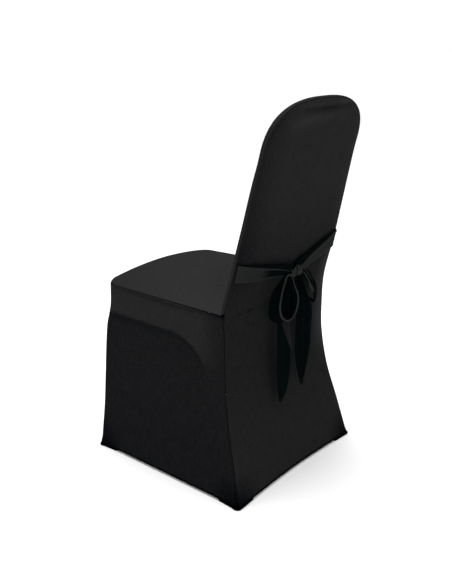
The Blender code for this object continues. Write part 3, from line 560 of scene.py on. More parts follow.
def pocket(corner, u, v):
    """A foot pocket: a shelf of cloth under the foot, turned up along the two hems it hangs from."""
    rim = corner(u)
    along = (corner(min(1.0, u + STEP)) - corner(max(0.0, u - STEP))).normalized()
    out = Vector((along.y, -along.x, 0.0))
    if out.dot(rim) < 0.0:
        out = -out
    rim = rim + out * POCKET_SWELL * math.sin(math.pi * u)
    ends = [corner(0.0), corner(1.0)]
    inner = mix(ends[0], ends[1], u) * (1.0 - POCKET_SHELF / ends[0].length)
    foot = rim - out * POCKET_ROUND
    if v < SHELF_END:
        point = mix(inner, foot, v / SHELF_END)
        point.z = 0.0
        return point
    if v < TURN_END:
        turn = math.pi / 2.0 * (v - SHELF_END) / (TURN_END - SHELF_END)
        point = foot + out * POCKET_ROUND * math.sin(turn)
        point.z = POCKET_ROUND * (1.0 - math.cos(turn))
        return point
    point = rim.copy()
    point.z = mix(POCKET_ROUND, POCKET_HEIGHT, (v - TURN_END) / (1.0 - TURN_END))
    return point


def rear_corner(share):
    """The hem's outline round the left rear foot."""
    if share < 0.5:
        return left_skirt(REAR_POCKET_SIDE * (1.0 - 2.0 * share), 0.0)
    return rear_panel(REAR_POCKET_REAR * (2.0 * share - 1.0), 0.0)


def front_corner(share):
    """The hem's outline round the left front foot."""
    if share < 0.5:
        return front_skirt(FRONT_POCKET_FRONT * (1.0 - 2.0 * share), 0.0)
    return left_skirt(1.0 - FRONT_POCKET_SIDE * (2.0 * share - 1.0), 0.0)


# The ties

def band(table, u, v):
    """A tie's flat run across the rear panel, from its root in the seam to the knot."""
    x, upper, lower = read(table, u)
    height = mix(upper, lower, v)
    clearance = mix(ROOT_CLEARANCE, BAND_CLEARANCE, ease(u / ROOT_EASE)) + TIE_CLOTH
    depth = rear_surface(x, height) + clearance
    depth = mix(depth, max(depth, KNOT[1]), ease_between((KNOT_EASE, 1.0), u))
    past = max(0.0, abs(x) - (back_half_width(height) - SEAM_ROUND * math.sin(HALF_TURN)))
    return Vector((x, depth - SEAM_ROUND + math.sqrt(SEAM_ROUND**2 - past**2), height))


def ribbon(table, u, v):
    """A loop or a tail: a strip of cloth between its rim and its inner edge, cupped across."""
    x, y, z, inner_x, inner_y, inner_z, cup = read(table, u)
    rim, inner = Vector((x, y, z)), Vector((inner_x, inner_y, inner_z))
    later = Vector(read(table, min(1.0, u + STEP))[:3])
    earlier = Vector(read(table, max(0.0, u - STEP))[:3])
    out = (rim - inner).cross(later - earlier).normalized()
    return mix(inner, rim, v) + out * cup * math.sin(math.pi * v)


def facing(place, u, v, step=0.002):
    """The cloth's direction out of its face."""
    u = min(max(u, step), 1.0 - step)
    v = min(max(v, step), 1.0 - step)
    along = place(u + step, v) - place(u - step, v)
    up = place(u, v + step) - place(u, v - step)
    return along.cross(up).normalized()


# Seams, hems and creases

SHEET = 0.0011            # thickness of the cloth as it is shown
SEAM_ALLOWANCE = 0.0050   # how far each sewn edge turns in
ALLOWANCE_EASE = 0.0040
SEAM_DIP = 0.0010         # how far the cloth dips into a seam
SEAM_WIDTH = 0.0030
SEAM_ROLL = 0.0005        # how far it rolls up beside the seam
SEAM_ROLL_AT = 0.0060
SEAM_LINE = 0.0018        # half width of the dark line down a seam
HEM_DEPTH = 0.0130        # depth of the turned-up hem
HEM_STEP = 0.0006         # how far its double cloth stands out
HEM_EASE = 0.001          # half the height over which it does
HEM_CURL = 0.0016         # how far the hem's lower edge turns in
HEM_CURL_REACH = 0.0035
HEM_PITCH = 0.0115        # from one pucker of the hem to the next
HEM_PUCKER = 0.0009
HEM_PUCKER_REACH = 0.020
FOOT_PITCH = 0.0075       # the folds drawn in above a foot pocket
FOOT_FOLD = 0.0010
FOOT_REACH = 0.050
GATHER_PITCH = 0.0068     # the gathers where the seat's edge meets the rear corner
GATHER_FOLD = 0.0006
GATHER_REACH = 0.085      # how far they go on along the edge
GATHER_DEPTH = 0.016      # and how far away from it
POCKET_PITCH = 0.008      # the puckers where a foot pocket is sewn to the hem
POCKET_PUCKER = 0.0006
POCKET_REACH = 0.008

REAR_FOLDS = (
    # x, height, half length, half width, turn in degrees, rise
    (0.020, 0.9020, 0.0700, 0.0055, 1.0, -0.0022),
    (0.064, 0.8850, 0.0460, 0.0085, -5.0, 0.0017),
    (-0.052, 0.8860, 0.0270, 0.0050, -16.0, 0.0014),
    (-0.028, 0.8945, 0.0300, 0.0045, -20.0, -0.0010),
    (0.056, 0.8680, 0.0550, 0.0080, -6.0, -0.0008),
    (-0.020, 0.8700, 0.0260, 0.0060, -14.0, -0.0006),
    (0.128, 0.4440, 0.0640, 0.0026, 1.5, -0.0009),
    (0.128, 0.4395, 0.0640, 0.0030, 1.5, 0.0006),
)
SIDE_FOLDS = (
    # depth, height, half length, half width, turn in degrees, rise
    (-0.180, 0.4290, 0.0150, 0.0026, 12.0, -0.0008),
    (0.060, 0.3860, 0.0500, 0.0120, -38.0, 0.0007),
)
# Painted light and shade on the crest's folds and on the crease at the waist: a highlight where share is above
# 0, shade where it is below
REAR_PAINTED_FOLD_LIGHT = (
    # x, height, half length, half width, turn in degrees, share
    (0.010, 0.9160, 0.1000, 0.0040, 0.0, 0.16),
    (-0.080, 0.9150, 0.0300, 0.0045, 0.0, 0.20),
    (-0.020, 0.9045, 0.0850, 0.0062, 0.0, -0.24),
    (0.038, 0.8850, 0.0560, 0.0100, -4.0, 0.20),
    (0.090, 0.8780, 0.0300, 0.0160, 0.0, 0.08),
    (-0.034, 0.8850, 0.0300, 0.0070, -18.0, 0.12),
    (-0.090, 0.8800, 0.0300, 0.0160, 20.0, 0.06),
    (0.128, 0.4440, 0.0640, 0.0024, 1.5, -0.16),
    (0.128, 0.4400, 0.0640, 0.0030, 1.5, 0.05),
)

Spot = namedtuple("Spot", "x y z u v left right bottom top")


def near(distance, reach):
    """1 on a line, and 0 from reach away."""
    return 1.0 - ease(abs(distance) / reach)


def seam(*distances):
    """The cloth dips into a seam and rolls up a little beside it."""
    distance = min(distances)
    return SEAM_ROLL * near(distance - SEAM_ROLL_AT, SEAM_ROLL_AT) - SEAM_DIP * near(distance, SEAM_WIDTH)


def puckers(run, pitch, rise):
    """Small uneven folds, one after another along a run."""
    wander = 0.30 * math.sin(1.7 * run / pitch + 0.8) + 0.22 * math.sin(0.61 * run / pitch)
    strength = 0.65 + 0.35 * math.sin(0.83 * run / pitch + 1.9)
    return rise * strength * math.sin(2.0 * math.pi * (run / pitch + wander))


def folds(table, across, height):
    """Soft ridges and troughs, each at its own place in the cloth."""
    rise = 0.0
    for place, level, half_length, half_width, turn, amount in table:
        turn = math.radians(turn)
        along = (across - place) * math.cos(turn) + (height - level) * math.sin(turn)
        aside = (height - level) * math.cos(turn) - (across - place) * math.sin(turn)
        rise += amount * math.exp(-(along / half_length) ** 2 - (aside / half_width) ** 2)
    return rise


def hem(spot):
    """The turned-up hem: a thicker strip, small puckers and a lower edge that curls in."""
    step = HEM_STEP * (1.0 - ease((spot.bottom - HEM_DEPTH + HEM_EASE) / (2.0 * HEM_EASE)))
    curl = HEM_CURL * near(spot.bottom, HEM_CURL_REACH)
    return step - curl + puckers(spot.left, HEM_PITCH, HEM_PUCKER) * near(spot.bottom, HEM_PUCKER_REACH)


def foot_folds(spot):
    """Upright folds above the foot pockets, which pull the corners down."""
    distance = min(spot.left, spot.right)
    fade = near(distance, FOOT_REACH) * near(spot.bottom, FOOT_REACH)
    return puckers(distance, FOOT_PITCH, FOOT_FOLD) * fade


def gathers(along, edge):
    """Small gathers beside the seat's edge, strongest at the rear corner."""
    return puckers(along, GATHER_PITCH, GATHER_FOLD) * near(edge, GATHER_DEPTH) * near(along, GATHER_REACH)


def hung_relief(spot):
    """What the panels down to the floor share: three seams, a hem, and the folds above the feet."""
    return seam(spot.left, spot.right, spot.top) + hem(spot) + foot_folds(spot)


def rear_relief(spot):
    return hung_relief(spot) + folds(REAR_FOLDS, spot.x, spot.z)


def inside_relief(spot):
    return seam(spot.left, spot.right, spot.top, spot.bottom)


def seat_relief(spot):
    return seam(spot.left, spot.right, spot.top) + gathers(spot.bottom, min(spot.left, spot.right))


def left_relief(spot):
    return hung_relief(spot) + gathers(spot.left, spot.top) + folds(SIDE_FOLDS, spot.y, spot.z)


def right_relief(spot):
    return left_relief(spot._replace(u=1.0 - spot.u, left=spot.right, right=spot.left))


def pocket_relief(spot):
    return puckers(spot.left, POCKET_PITCH, POCKET_PUCKER) * near(spot.top, POCKET_REACH)


# How pale the cloth is painted: stretched cloth is paler, cloth that hangs free darker, and painted light and
# shade lie over that: each panel's tone follows how light falls on it

REAR_TONE_LOW = 0.41      # the rear panel below the padded back
REAR_TONE_HIGH = 0.60     # and over the padded back
REAR_TONE_RISE = (0.53, 0.74)  # heights between the two
REAR_FOOT_TONE = 0.08     # what it gains towards the hem
REAR_FOOT_FALL = (0.05, 0.34)
NO_END = (1.0, 1.1)       # above the crest, for a strip that goes all the way up
# Painted light and shade along the rear panel's edges: shade to the left, highlights down the right edge and at
# the right waist, and a thin highlight inside the left seam
REAR_PAINTED_EDGE_LIGHT = (
    # edge, gap to the strip, reach, power, heights where it sets in, heights where it ends, share
    ("left", 0.0, 0.15, 1, (0.45, 0.60), NO_END, -0.24),
    ("right", 0.0, 0.11, 2, (0.55, 0.65), NO_END, 0.42),
    ("left", 0.008, 0.007, 1, (0.45, 0.55), NO_END, 0.12),
    ("right", 0.0, 0.075, 1, (0.20, 0.36), (0.50, 0.60), 0.95),
)
REAR_PAINTED_FOLD_LIGHT_SHARE = 1.4   # how strongly the painted light and shade on the folds shows
INSIDE_TONE = 0.50
INSIDE_RIM_PAINTED_HIGHLIGHT = 0.10    # painted highlight that the inside panel gains over the rim of the padding
INSIDE_RIM_REACH = 0.03
# painted light from above and painted sheen on the seat, at its back and at its front
SEAT_PAINTED_LIGHT_REAR = 0.86
SEAT_PAINTED_LIGHT_FRONT = 0.55
FRONT_TONE = 0.35
SIDE_TONE = 0.30          # a side panel in the hollow under its rail
SIDE_FALL = 0.05          # what it loses down to the hem
SIDE_FALL_HEIGHT = 0.3
RAIL_STRETCH_AND_PAINTED_LIGHT = 0.30          # what it gains over the rail, partly as taut cloth and partly as painted light
RAIL_LINE = (-0.001, 0.006)  # past the rail's line, where that gain ends
LEG_FADE = (0.27, 0.38)   # heights over which it sets in up the rear leg
REAR_SHARE = 0.90         # share of it that is lost beside the rear seam
REAR_SHARE_REACH = 0.085
ARCH_SHADE = 0.08         # the hollow is darkest just under the rail's line
ARCH_SHADE_AT = 0.012
ARCH_SHADE_REACH = 0.018
EDGE_SAG = 0.0065         # a soft painted shade of a crease below the seat's seam, which sags this far in its middle
EDGE_SHADES = ((0.006, 0.17), (0.020, 0.085))  # reach and share of its line and its fringe
HEM_SHADE_TOP = 0.0085    # the hem's dark edge ends here
HEM_SHADE_EASE = 0.004
FOOT_SHADE = 0.85         # share of its tone that the cloth above a foot loses
FOOT_SHADE_SIDE = 0.10
FOOT_SHADE_UP = 0.09
BOW_SHADE = (0.65, 0.97)  # share that the bands' shade takes away, at the seams and at the knot
BOW_SHADE_REACH = (0.014, 0.062)  # and how far up it goes there
BOW_SHADE_RUN = 0.19      # how far from the knot it eases off
BOW_SHADE_BAND = (-0.004, 0.08)  # heights above the bands' upper edge between which it lies


def hem_shade(spot):
    """The hem and the cloth drawn in above a foot lie in their own shade."""
    foot = near(min(spot.left, spot.right), FOOT_SHADE_SIDE) * near(spot.bottom, FOOT_SHADE_UP)
    return (1.0 - ease((HEM_SHADE_TOP - spot.bottom) / HEM_SHADE_EASE)) * (1.0 - FOOT_SHADE * foot)


def band_top(x):
    """Height of the bands' upper edge across the rear."""
    rows = sorted((row[1], row[2]) for row in (LEFT_BAND if x > KNOT[0] else RIGHT_BAND))
    for before, after in zip(rows, rows[1:]):
        if x <= after[0]:
            break
    return mix(before[1], after[1], (x - before[0]) / (after[0] - before[0]))


def bow_shade(spot):
    """The panel is in deep shade above the bands, most of all beside the knot."""
    above = spot.z - band_top(spot.x)
    if above < BOW_SHADE_BAND[0] or above > BOW_SHADE_BAND[1]:
        return 0.0
    toward = 1.0 - min(1.0, abs(spot.x - KNOT[0]) / BOW_SHADE_RUN)
    reach = mix(*BOW_SHADE_REACH, toward**0.7)
    return mix(*BOW_SHADE, toward**0.5) * near(max(above, 0.0), reach) ** 2


def rear_taut(spot):
    """Palest over the padded back, with painted highlights down its right edge; painted shade to the left and
    under the bow.
    """
    share = mix(REAR_TONE_LOW, REAR_TONE_HIGH, ease_between(REAR_TONE_RISE, spot.z))
    share += REAR_FOOT_TONE * (1.0 - ease_between(REAR_FOOT_FALL, spot.z))
    for edge, gap, reach, power, sets_in, ends, amount in REAR_PAINTED_EDGE_LIGHT:
        distance = spot.left if edge == "left" else spot.right
        strip = amount * near(distance - gap, reach) ** power
        share += strip * ease_between(sets_in, spot.z) * (1.0 - ease_between(ends, spot.z))
    share += REAR_PAINTED_FOLD_LIGHT_SHARE * folds(REAR_PAINTED_FOLD_LIGHT, spot.x, spot.z)
    return share * hem_shade(spot) * (1.0 - bow_shade(spot))


# painted highlight over the rim of the padding
def inside_taut(spot):
    return INSIDE_TONE + INSIDE_RIM_PAINTED_HIGHLIGHT * near(min(spot.left, spot.right, spot.top), INSIDE_RIM_REACH)


# the seat is painted pale for the light from above and its sheen, palest at the back
def seat_taut(spot):
    return mix(SEAT_PAINTED_LIGHT_REAR, SEAT_PAINTED_LIGHT_FRONT, spot.v)


# the front panel's tone, with painted shade at the hem and above the feet
def front_taut(spot):
    return FRONT_TONE * hem_shade(spot)


# painted shade: the foot pockets take the darkest tone
def pocket_in_painted_shade(spot):
    return 0.0


def side_taut(spot):
    """Paler over the seat's rail and the rear leg, where the cloth is taut and light is painted on; slack and
    darker in the hollow under the rail, with painted shade under the rail's line, under the seat's edge and at
    the hem.
    """
    inside = past_arch(spot.y, spot.z)
    fade = ease_between(LEG_FADE, spot.z)
    over = 1.0 - ease_between(RAIL_LINE, inside)
    corner = 1.0 - REAR_SHARE * near(spot.y - seam_depth(spot.z), REAR_SHARE_REACH)
    share = SIDE_TONE - SIDE_FALL * (1.0 - ease(spot.z / SIDE_FALL_HEIGHT))
    share += RAIL_STRETCH_AND_PAINTED_LIGHT * over * fade * corner
    share -= ARCH_SHADE * near(inside - ARCH_SHADE_AT, ARCH_SHADE_REACH) * fade
    sag = spot.top - EDGE_SAG * math.sin(math.pi * spot.u)
    share -= sum(amount * near(sag, reach) for reach, amount in EDGE_SHADES)
    return share * hem_shade(spot)


# Making the cloth

SHARP_ANGLE = math.radians(60.0)


def lines(*stretches):
    """Values from 0 to 1 for a grid: each stretch is a share and how many steps lead to it."""
    values = [0.0]
    for share, count in stretches:
        last = values[-1]
        values += [mix(last, share, (k + 1) / count) for k in range(count)]
    return values


def runs(points):
    """How far each point is along the cloth from the first."""
    total = [0.0]
    for before, after in zip(points, points[1:]):
        total.append(total[-1] + (after - before).length)
    return total


def lay_cloth(name, place, across, up, relief, taut, thickness=SHEET, flip=False, sewn=()):
    """A closed sheet of cloth, laid out by place(u, v), with its relief pressed in.

    flip turns it over, and sewn names its edges that turn in at a seam.
    """
    last_column, last_row = len(across) - 1, len(up) - 1
    base = [[place(u, v) for v in up] for u in across]
    down = [runs(column) for column in base]
    sideways = [runs([base[i][j] for i in range(len(across))]) for j in range(len(up))]
    bm = bmesh.new()
    bmesh.ops.create_grid(bm, x_segments=last_column, y_segments=last_row, size=1.0)
    column = bm.verts.layers.int.new("column")
    row = bm.verts.layers.int.new("row")
    tautness = bm.verts.layers.float.new("taut")
    seam_gap = bm.verts.layers.float.new("seam_gap")
    seam_run = bm.verts.layers.float.new("seam_run")
    hem_gap = bm.verts.layers.float.new("hem_gap")
    for vert in bm.verts:
        i = round((vert.co.x + 1.0) / 2.0 * last_column)
        j = round((vert.co.y + 1.0) / 2.0 * last_row)
        vert[column], vert[row] = i, j
        vert.co = base[i][j]
        ends = {"left": (i == 0, i + 1, j), "right": (i == last_column, i - 1, j),
                "bottom": (j == 0, i, j + 1), "top": (j == last_row, i, j - 1)}
        for side, (here, next_i, next_j) in ends.items():
            if here and side in sewn:
                vert.co += (base[next_i][next_j] - base[i][j]).normalized() * SEAM_SETBACK
    if flip:
        bmesh.ops.reverse_faces(bm, faces=bm.faces[:])
    bm.normal_update()
    offsets = {}
    for vert in bm.verts:
        i, j = vert[column], vert[row]
        spot = Spot(*base[i][j], across[i], up[j], sideways[j][i], sideways[j][-1] - sideways[j][i],
                    down[i][j], down[i][-1] - down[i][j])
        gaps = {"left": spot.left, "right": spot.right, "bottom": spot.bottom, "top": spot.top}
        seams = [side for side in gaps if side in sewn]
        closest = min(seams, key=gaps.get) if seams else "left"
        vert[seam_gap] = gaps[closest] if seams else 1.0
        vert[seam_run] = spot.bottom if closest in ("left", "right") else spot.left
        vert[hem_gap] = 1.0 if "bottom" in sewn else spot.bottom
        # the cloth's tone here, with its painted light and shade
        vert[tautness] = taut(spot)
        offsets[i, j] = vert.normal * relief(spot)
    for vert in bm.verts:
        vert.co += offsets[vert[column], vert[row]]
    bm.normal_update()
    inward = {}
    for vert in bm.verts:
        depth = thickness + SEAM_ALLOWANCE * near(vert[seam_gap], ALLOWANCE_EASE)
        inward[vert[column], vert[row]] = vert.normal * -depth
    back = bmesh.ops.extrude_face_region(bm, geom=bm.faces[:], use_keep_orig=True)
    for vert in back["geom"]:
        if isinstance(vert, bmesh.types.BMVert):
            vert.co += inward[vert[column], vert[row]]
    bmesh.ops.recalc_face_normals(bm, faces=bm.faces[:])
    if bm.calc_volume(signed=True) < 0.0:
        bmesh.ops.reverse_faces(bm, faces=bm.faces[:])
    uv = bm.loops.layers.uv.new("cloth")
    for face in bm.faces:
        for loop in face.loops:
            i, j = loop.vert[column], loop.vert[row]
            loop[uv].uv = (sideways[j][i], down[i][j])
    return finish_piece(name, bm)


def finish_piece(name, bm):
    mesh = bpy.data.meshes.new(name)
    bm.to_mesh(mesh)
    bm.free()
    mesh.shade_smooth()
    mesh.set_sharp_from_angle(angle=SHARP_ANGLE)
    piece = bpy.data.objects.new(name, mesh)
    bpy.context.scene.collection.objects.link(piece)
    return piece


def stand_for(piece, node, finish):
    """The piece takes the place of its solid, with its finish."""
    piece.data.materials.append(finish)
    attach(piece, "root")
    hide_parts(node)


# The ties: each strip is a soft flat tube with rolled edges

# A turned-under edge above each band: partly a real fold, partly a dark sheet standing in for the shadow above
# the band
LEFT_FOLD = (
    # run, x, upper edge, lower edge
    (0.00, 0.1990, 0.5785, 0.5745),
    (0.25, 0.1550, 0.5672, 0.5600),
    (0.55, 0.0940, 0.5545, 0.5440),
    (0.80, 0.0370, 0.5430, 0.5290),
    (1.00, -0.0060, 0.5340, 0.5150),
)
RIGHT_FOLD = (
    # run, x, upper edge, lower edge
    (0.00, -0.2045, 0.5868, 0.5800),
    (0.25, -0.1600, 0.5780, 0.5640),
    (0.60, -0.1000, 0.5610, 0.5410),
    (0.85, -0.0600, 0.5480, 0.5260),
    (1.00, -0.0200, 0.5370, 0.5150),
)
FOLD_SINK = 0.0014        # the fold above each band, painted black as the shadow above it, lies this far behind it
FOLD_HALF = 0.0004        # half its thickness
STRIP_HALF = 0.0010       # half thickness of a strip in its middle
ROLL_HALF = 0.0021        # and in its rolled edges
ROLL_SHARE = 0.10         # share of its width that an edge's roll takes
STRIP_RING = 56           # steps round a strip's section
TAIL_PLEATS = 2.5
LOOP_PLEATS = 2.2
BAND_RIBS = 5.5           # gathers across the right band
LEFT_ROLLS = (
    # place across the band, reach, rise
    (0.16, 0.20, 0.0024),
    (0.50, 0.26, -0.0035),
    (0.82, 0.20, 0.0016),
)
RIGHT_ROLLS = (
    # place across the band, reach, rise
    (0.14, 0.14, 0.0018),
    (0.36, 0.14, -0.0012),
    (0.93, 0.12, 0.0016),
)
STRIP_LAYERS = ("taut", "across", "run")
KNOT_TONE = 0.45
RIDGE_PAINTED_HIGHLIGHT = 0.40         # painted highlight on the folds over the knot, and painted shade between them
TIE_UV_WIDTH = 0.05       # width of a tie on its UV map


def strip_section():
    """Places round a strip's section: across it, and which face they are on."""
    ring = []
    for k in range(STRIP_RING):
        turn = 2.0 * math.pi * k / STRIP_RING
        ring.append((0.5 - 0.5 * math.cos(turn), 1.0 if turn < math.pi else -1.0))
    return ring


def strip_half(v, middle, roll):
    """Half thickness of a strip across its width, with a round end at each edge."""
    edge = min(v, 1.0 - v) / ROLL_SHARE
    swell = mix(middle, roll, near(edge - 1.0, 1.1))
    return swell * math.sqrt(max(0.0, 1.0 - (1.0 - min(edge, 1.0)) ** 2))


def add_strip(bm, place, along, relief, taut, middle=STRIP_HALF, roll=ROLL_HALF, ends=(1.0, 1.0)):
    """Wraps a grid round a strip's section, from one end of it to the other, and closes its ends."""
    ring = strip_section()
    tautness, across, run = (bm.verts.layers.float[name] for name in STRIP_LAYERS)
    made = bmesh.ops.create_grid(bm, x_segments=len(along) - 1, y_segments=STRIP_RING, size=1.0)["verts"]
    path = runs([place(u, 0.5) for u in along])
    for vert in made:
        i = round((vert.co.x + 1.0) / 2.0 * (len(along) - 1))
        k = round((vert.co.y + 1.0) / 2.0 * STRIP_RING) % STRIP_RING
        v, side = ring[k]
        u = along[i]
        out = facing(place, u, v)
        half = strip_half(v, middle, roll) * mix(ends[0], ends[1], u)
        vert.co = place(u, v) + out * (side * half + relief(u, v))
        # its tone with painted highlights and shade, how far across it lies, and how far along
        vert[tautness], vert[across], vert[run] = taut(u, v), v, path[i]
    bmesh.ops.remove_doubles(bm, verts=made, dist=1e-6)
    rims = [edge for edge in bm.edges if edge.is_boundary]
    bmesh.ops.holes_fill(bm, edges=rims, sides=0)


def add_knot(bm, middle, radii, fold, pitch, lean):
    """The wrapped cloth of a knot: a round with folds running over it."""
    tautness = bm.verts.layers.float["taut"]
    ball = bmesh.ops.create_uvsphere(bm, u_segments=56, v_segments=40, radius=1.0)["verts"]
    for vert in ball:
        out = vert.co.copy()
        across = (out.x + lean * out.z) * radii[0]
        ridge = math.cos(2.0 * math.pi * across / pitch + 0.6 * out.z)
        vert.co = Vector(middle) + Vector([out[k] * (radii[k] + fold * ridge) for k in range(3)])
        # painted highlights on the ridges of the folds, painted shade between them
        vert[tautness] = KNOT_TONE + RIDGE_PAINTED_HIGHLIGHT * ridge


# How each strip is folded: the rise of its surface at (u, v), and how pale it is painted there, with painted
# highlights and shade

def rolls(table, v):
    """Rolls and troughs along a band."""
    return sum(rise * near(v - place, reach) for place, reach, rise in table)


def left_band_relief(u, v):
    """A rolled upper edge over a soft lower fold, with a trough that opens towards the knot."""
    return rolls(LEFT_ROLLS, v) * ease((u - 0.25) / 0.6)


def left_band_taut(u, v):
    """A painted highlight on the upper edge; the flat of the band goes dark in a wedge of painted shade that
    ends at the knot.
    """
    toward = ease((u - 0.42) / 0.24)
    edge = near(v - 0.10, 0.14)
    pale = max(0.52 * edge, 0.34 * near(v - 0.86, 0.20)) - 0.04
    return mix(0.36 - 0.10 * u + 0.07 * edge + 0.07 * near(v - 0.93, 0.10), pale, toward)


def right_band_relief(u, v):
    """An upper roll over a trough, ribbed gathers and a lower roll."""
    ribs = 0.0007 * math.sin(2.0 * math.pi * BAND_RIBS * v) * near(v - 0.62, 0.28)
    return rolls(RIGHT_ROLLS, v) * ease(u / 0.35) + ribs


def right_band_taut(u, v):
    """Painted highlights along both rolls, with the ribs between them in painted light and shade."""
    ribs = 0.12 * math.sin(2.0 * math.pi * BAND_RIBS * v)
    return max(0.66 * near(v - 0.14, 0.11), 1.00 * near(v - 0.92, 0.10), 0.38 + ribs)


def fold_taut(u, v):
    """Black, as painted shadow above the band, and soft at its upper edge."""
    return -0.25 + 0.30 * (1.0 - ease(v / 0.2))


def no_relief(u, v):
    return 0.0


def turned_edge(table, u, v):
    """The turned-under edge that shows above a band, painted black for the shadow there."""
    point = band(table, u, v)
    point.y -= FOLD_SINK
    return point


def loop_relief(u, v):
    pleats = math.sin(2.0 * math.pi * (LOOP_PLEATS * v + 0.4 * math.sin(5.0 * u)))
    return 0.0009 * pleats * math.sin(math.pi * v) * (0.4 + 0.6 * abs(math.cos(math.pi * u)))


def loop_taut(u, v):
    """Dark, with a painted highlight along its rim."""
    return 0.62 * ease(1.6 * near(v - 1.0, 0.20)) - 0.04


def right_loop_taut(u, v):
    """Two lit folds that cross over from the knot, and a lit face past them."""
    lower = 0.62 * near(v - mix(0.70, 0.97, ease(u / 0.46)), 0.13) * (1.0 - ease((u - 0.44) / 0.08))
    upper = 0.52 * near(v - mix(0.12, 0.55, ease(u / 0.34)), 0.10) * (1.0 - ease((u - 0.28) / 0.08))
    face = 0.48 * ease((u - 0.24) / 0.12) * (1.0 - ease((u - 0.60) / 0.04))
    face *= 1.0 - ease((v - 0.14) / 0.16)
    return max(lower, upper, face)


def tail_relief(u, v):
    """Lengthwise pleats that fan out from the knot and soften down the tail."""
    pleats = math.sin(2.0 * math.pi * (TAIL_PLEATS * v + 0.25 * math.sin(4.0 * u)))
    return mix(0.0014, 0.0007, u) * pleats * math.sin(math.pi * v)


def left_tail_taut(u, v):
    """Dark satin, with a lit strip where its near edge twists over above the middle."""
    edge = mix(0.30, 0.96, min(max((u - 0.36) / 0.24, 0.0), 1.0))
    twist = ease((v - edge) / 0.10) * ease((u - 0.30) / 0.06) * (1.0 - ease((u - 0.58) / 0.08))
    seam_light = 0.14 * near(v - 0.97, 0.10) * ease((u - 0.5) / 0.1)
    tip = 0.30 * near(v - 0.55, 0.14) * ease((u - 0.955) / 0.02)
    return max(0.27 * twist, seam_light, tip)


def right_tail_taut(u, v):
    """Dark, with a faint painted highlight on its rim and a lit tip."""
    tip = 0.30 * near(v - 0.45, 0.16) * ease((u - 0.95) / 0.02)
    return 0.04 * near(v - 0.92, 0.12) * near(u - 0.6, 0.5) + tip


TIES = (
    # node, band with its relief and painted light, fold, loop with its steps and painted light, tail with its
    # painted light,
    # knot's middle, radii, depth of its folds, their pitch and lean
    ("left_tie", (LEFT_BAND, left_band_relief, left_band_taut), LEFT_FOLD,
     (LEFT_LOOP, 150, loop_taut), (LEFT_TAIL, left_tail_taut),
     (Vector(KNOT) + Vector(GATHER_OFFSET), GATHER_RADII, 0.0007, 0.0060, 0.5)),
    ("right_tie", (RIGHT_BAND, right_band_relief, right_band_taut), RIGHT_FOLD,
     (RIGHT_LOOP, 130, right_loop_taut), (RIGHT_TAIL, right_tail_taut),
     (KNOT, KNOT_RADII, 0.0010, 0.0070, 0.25)),
)


def make_ties(satin):
    """Each tie is its band, the fold above it, a loop, a tail and its share of the knot."""
    band_lines, tail_lines = lines((0.06, 6), (1.0, 70)), lines((1.0, 90))
    for node, (band_table, relief, taut), fold_table, loop, (tail_table, tail_taut), knot in TIES:
        bm = bmesh.new()
        for layer in STRIP_LAYERS:
            bm.verts.layers.float.new(layer)
        add_strip(bm, partial(band, band_table), band_lines, relief, taut)
        edge = partial(turned_edge, fold_table)
        add_strip(bm, edge, band_lines, no_relief, fold_taut, FOLD_HALF, FOLD_HALF)
        add_strip(bm, partial(ribbon, loop[0]), lines((1.0, loop[1])), loop_relief, loop[2])
        add_strip(bm, partial(ribbon, tail_table), tail_lines, tail_relief, tail_taut, ends=(1.0, 0.5))
        add_knot(bm, *knot)
        piece = finish_tie(f"{node}_cloth", bm)
        stand_for(piece, node, satin)


def finish_tie(name, bm):
    across = bm.verts.layers.float["across"]
    run = bm.verts.layers.float["run"]
    bmesh.ops.recalc_face_normals(bm, faces=bm.faces[:])
    uv = bm.loops.layers.uv.new("cloth")
    for face in bm.faces:
        for loop in face.loops:
            loop[uv].uv = (loop.vert[across] * TIE_UV_WIDTH, loop.vert[run])
    return finish_piece(name, bm)


# Finishes

FULL_TURN = 2.0 * math.pi
WALE_PITCH = 0.0016       # from one wale of the knit to the next
COURSE_PITCH = 0.0011     # and from one course to the next
STITCH_BUMP = 0.22        # height of the courses against the wales
FUZZ_BUMP = 0.6           # and of the fuzz
CLOUD_SHARE = 0.12        # the streaks are made of soft clouds,
YARN_SHARE = 0.25         # of the yarn's long lines
GRAIN_SHARE = 0.63        # and of a fine grain
STREAK_ROUGHNESS = 0.16   # how much the streaks change the roughness
HEM_STITCH_ROWS = (HEM_DEPTH - 0.0020, HEM_DEPTH + 0.0010)
HEM_STITCHES = (0.0034, 0.0007)  # pitch and half width
SEAM_PULLS = (0.0030, 0.0014)  # and those of the stitches that show in a seam
SEAM_PULLS_AT = 0.0004
THREAD_BUMP = 2.5         # the hem's threads stand out
PULL_BUMP = -2.0          # and a seam's stitches pull the cloth in
SEAM_LIGHT = 0.46         # share of its tone that the cloth keeps down in a seam
STRETCH_LOOK = (
    # darkest and palest colour, strength of the streaks, and the shader's own values
    (0.0006, 0.0009, 0.0017), (0.0235, 0.0235, 0.0235), 1.3,
    {"Roughness": 0.75, "Specular IOR Level": 0.0, "Sheen Weight": 0.006, "Sheen Roughness": 0.45},
)
# the pockets: a near black copy of the cloth, painted as if in shade under the hem
POCKET_LOOK = (
    (0.0008, 0.0010, 0.0011), (0.003, 0.003, 0.003), 0.5,
    {"Roughness": 0.75, "Specular IOR Level": 0.0, "Sheen Weight": 0.0, "Sheen Roughness": 0.5},
)
# the ties have no sheen in the shader: their highlights are painted into the tone attribute
TIE_LOOK = (
    (0.0014, 0.0027, 0.0030), (0.0375, 0.0360, 0.0355), 0.30,
    {"Roughness": 0.60, "Specular IOR Level": 0.0, "Sheen Weight": 0.0, "Sheen Roughness": 0.4},
)


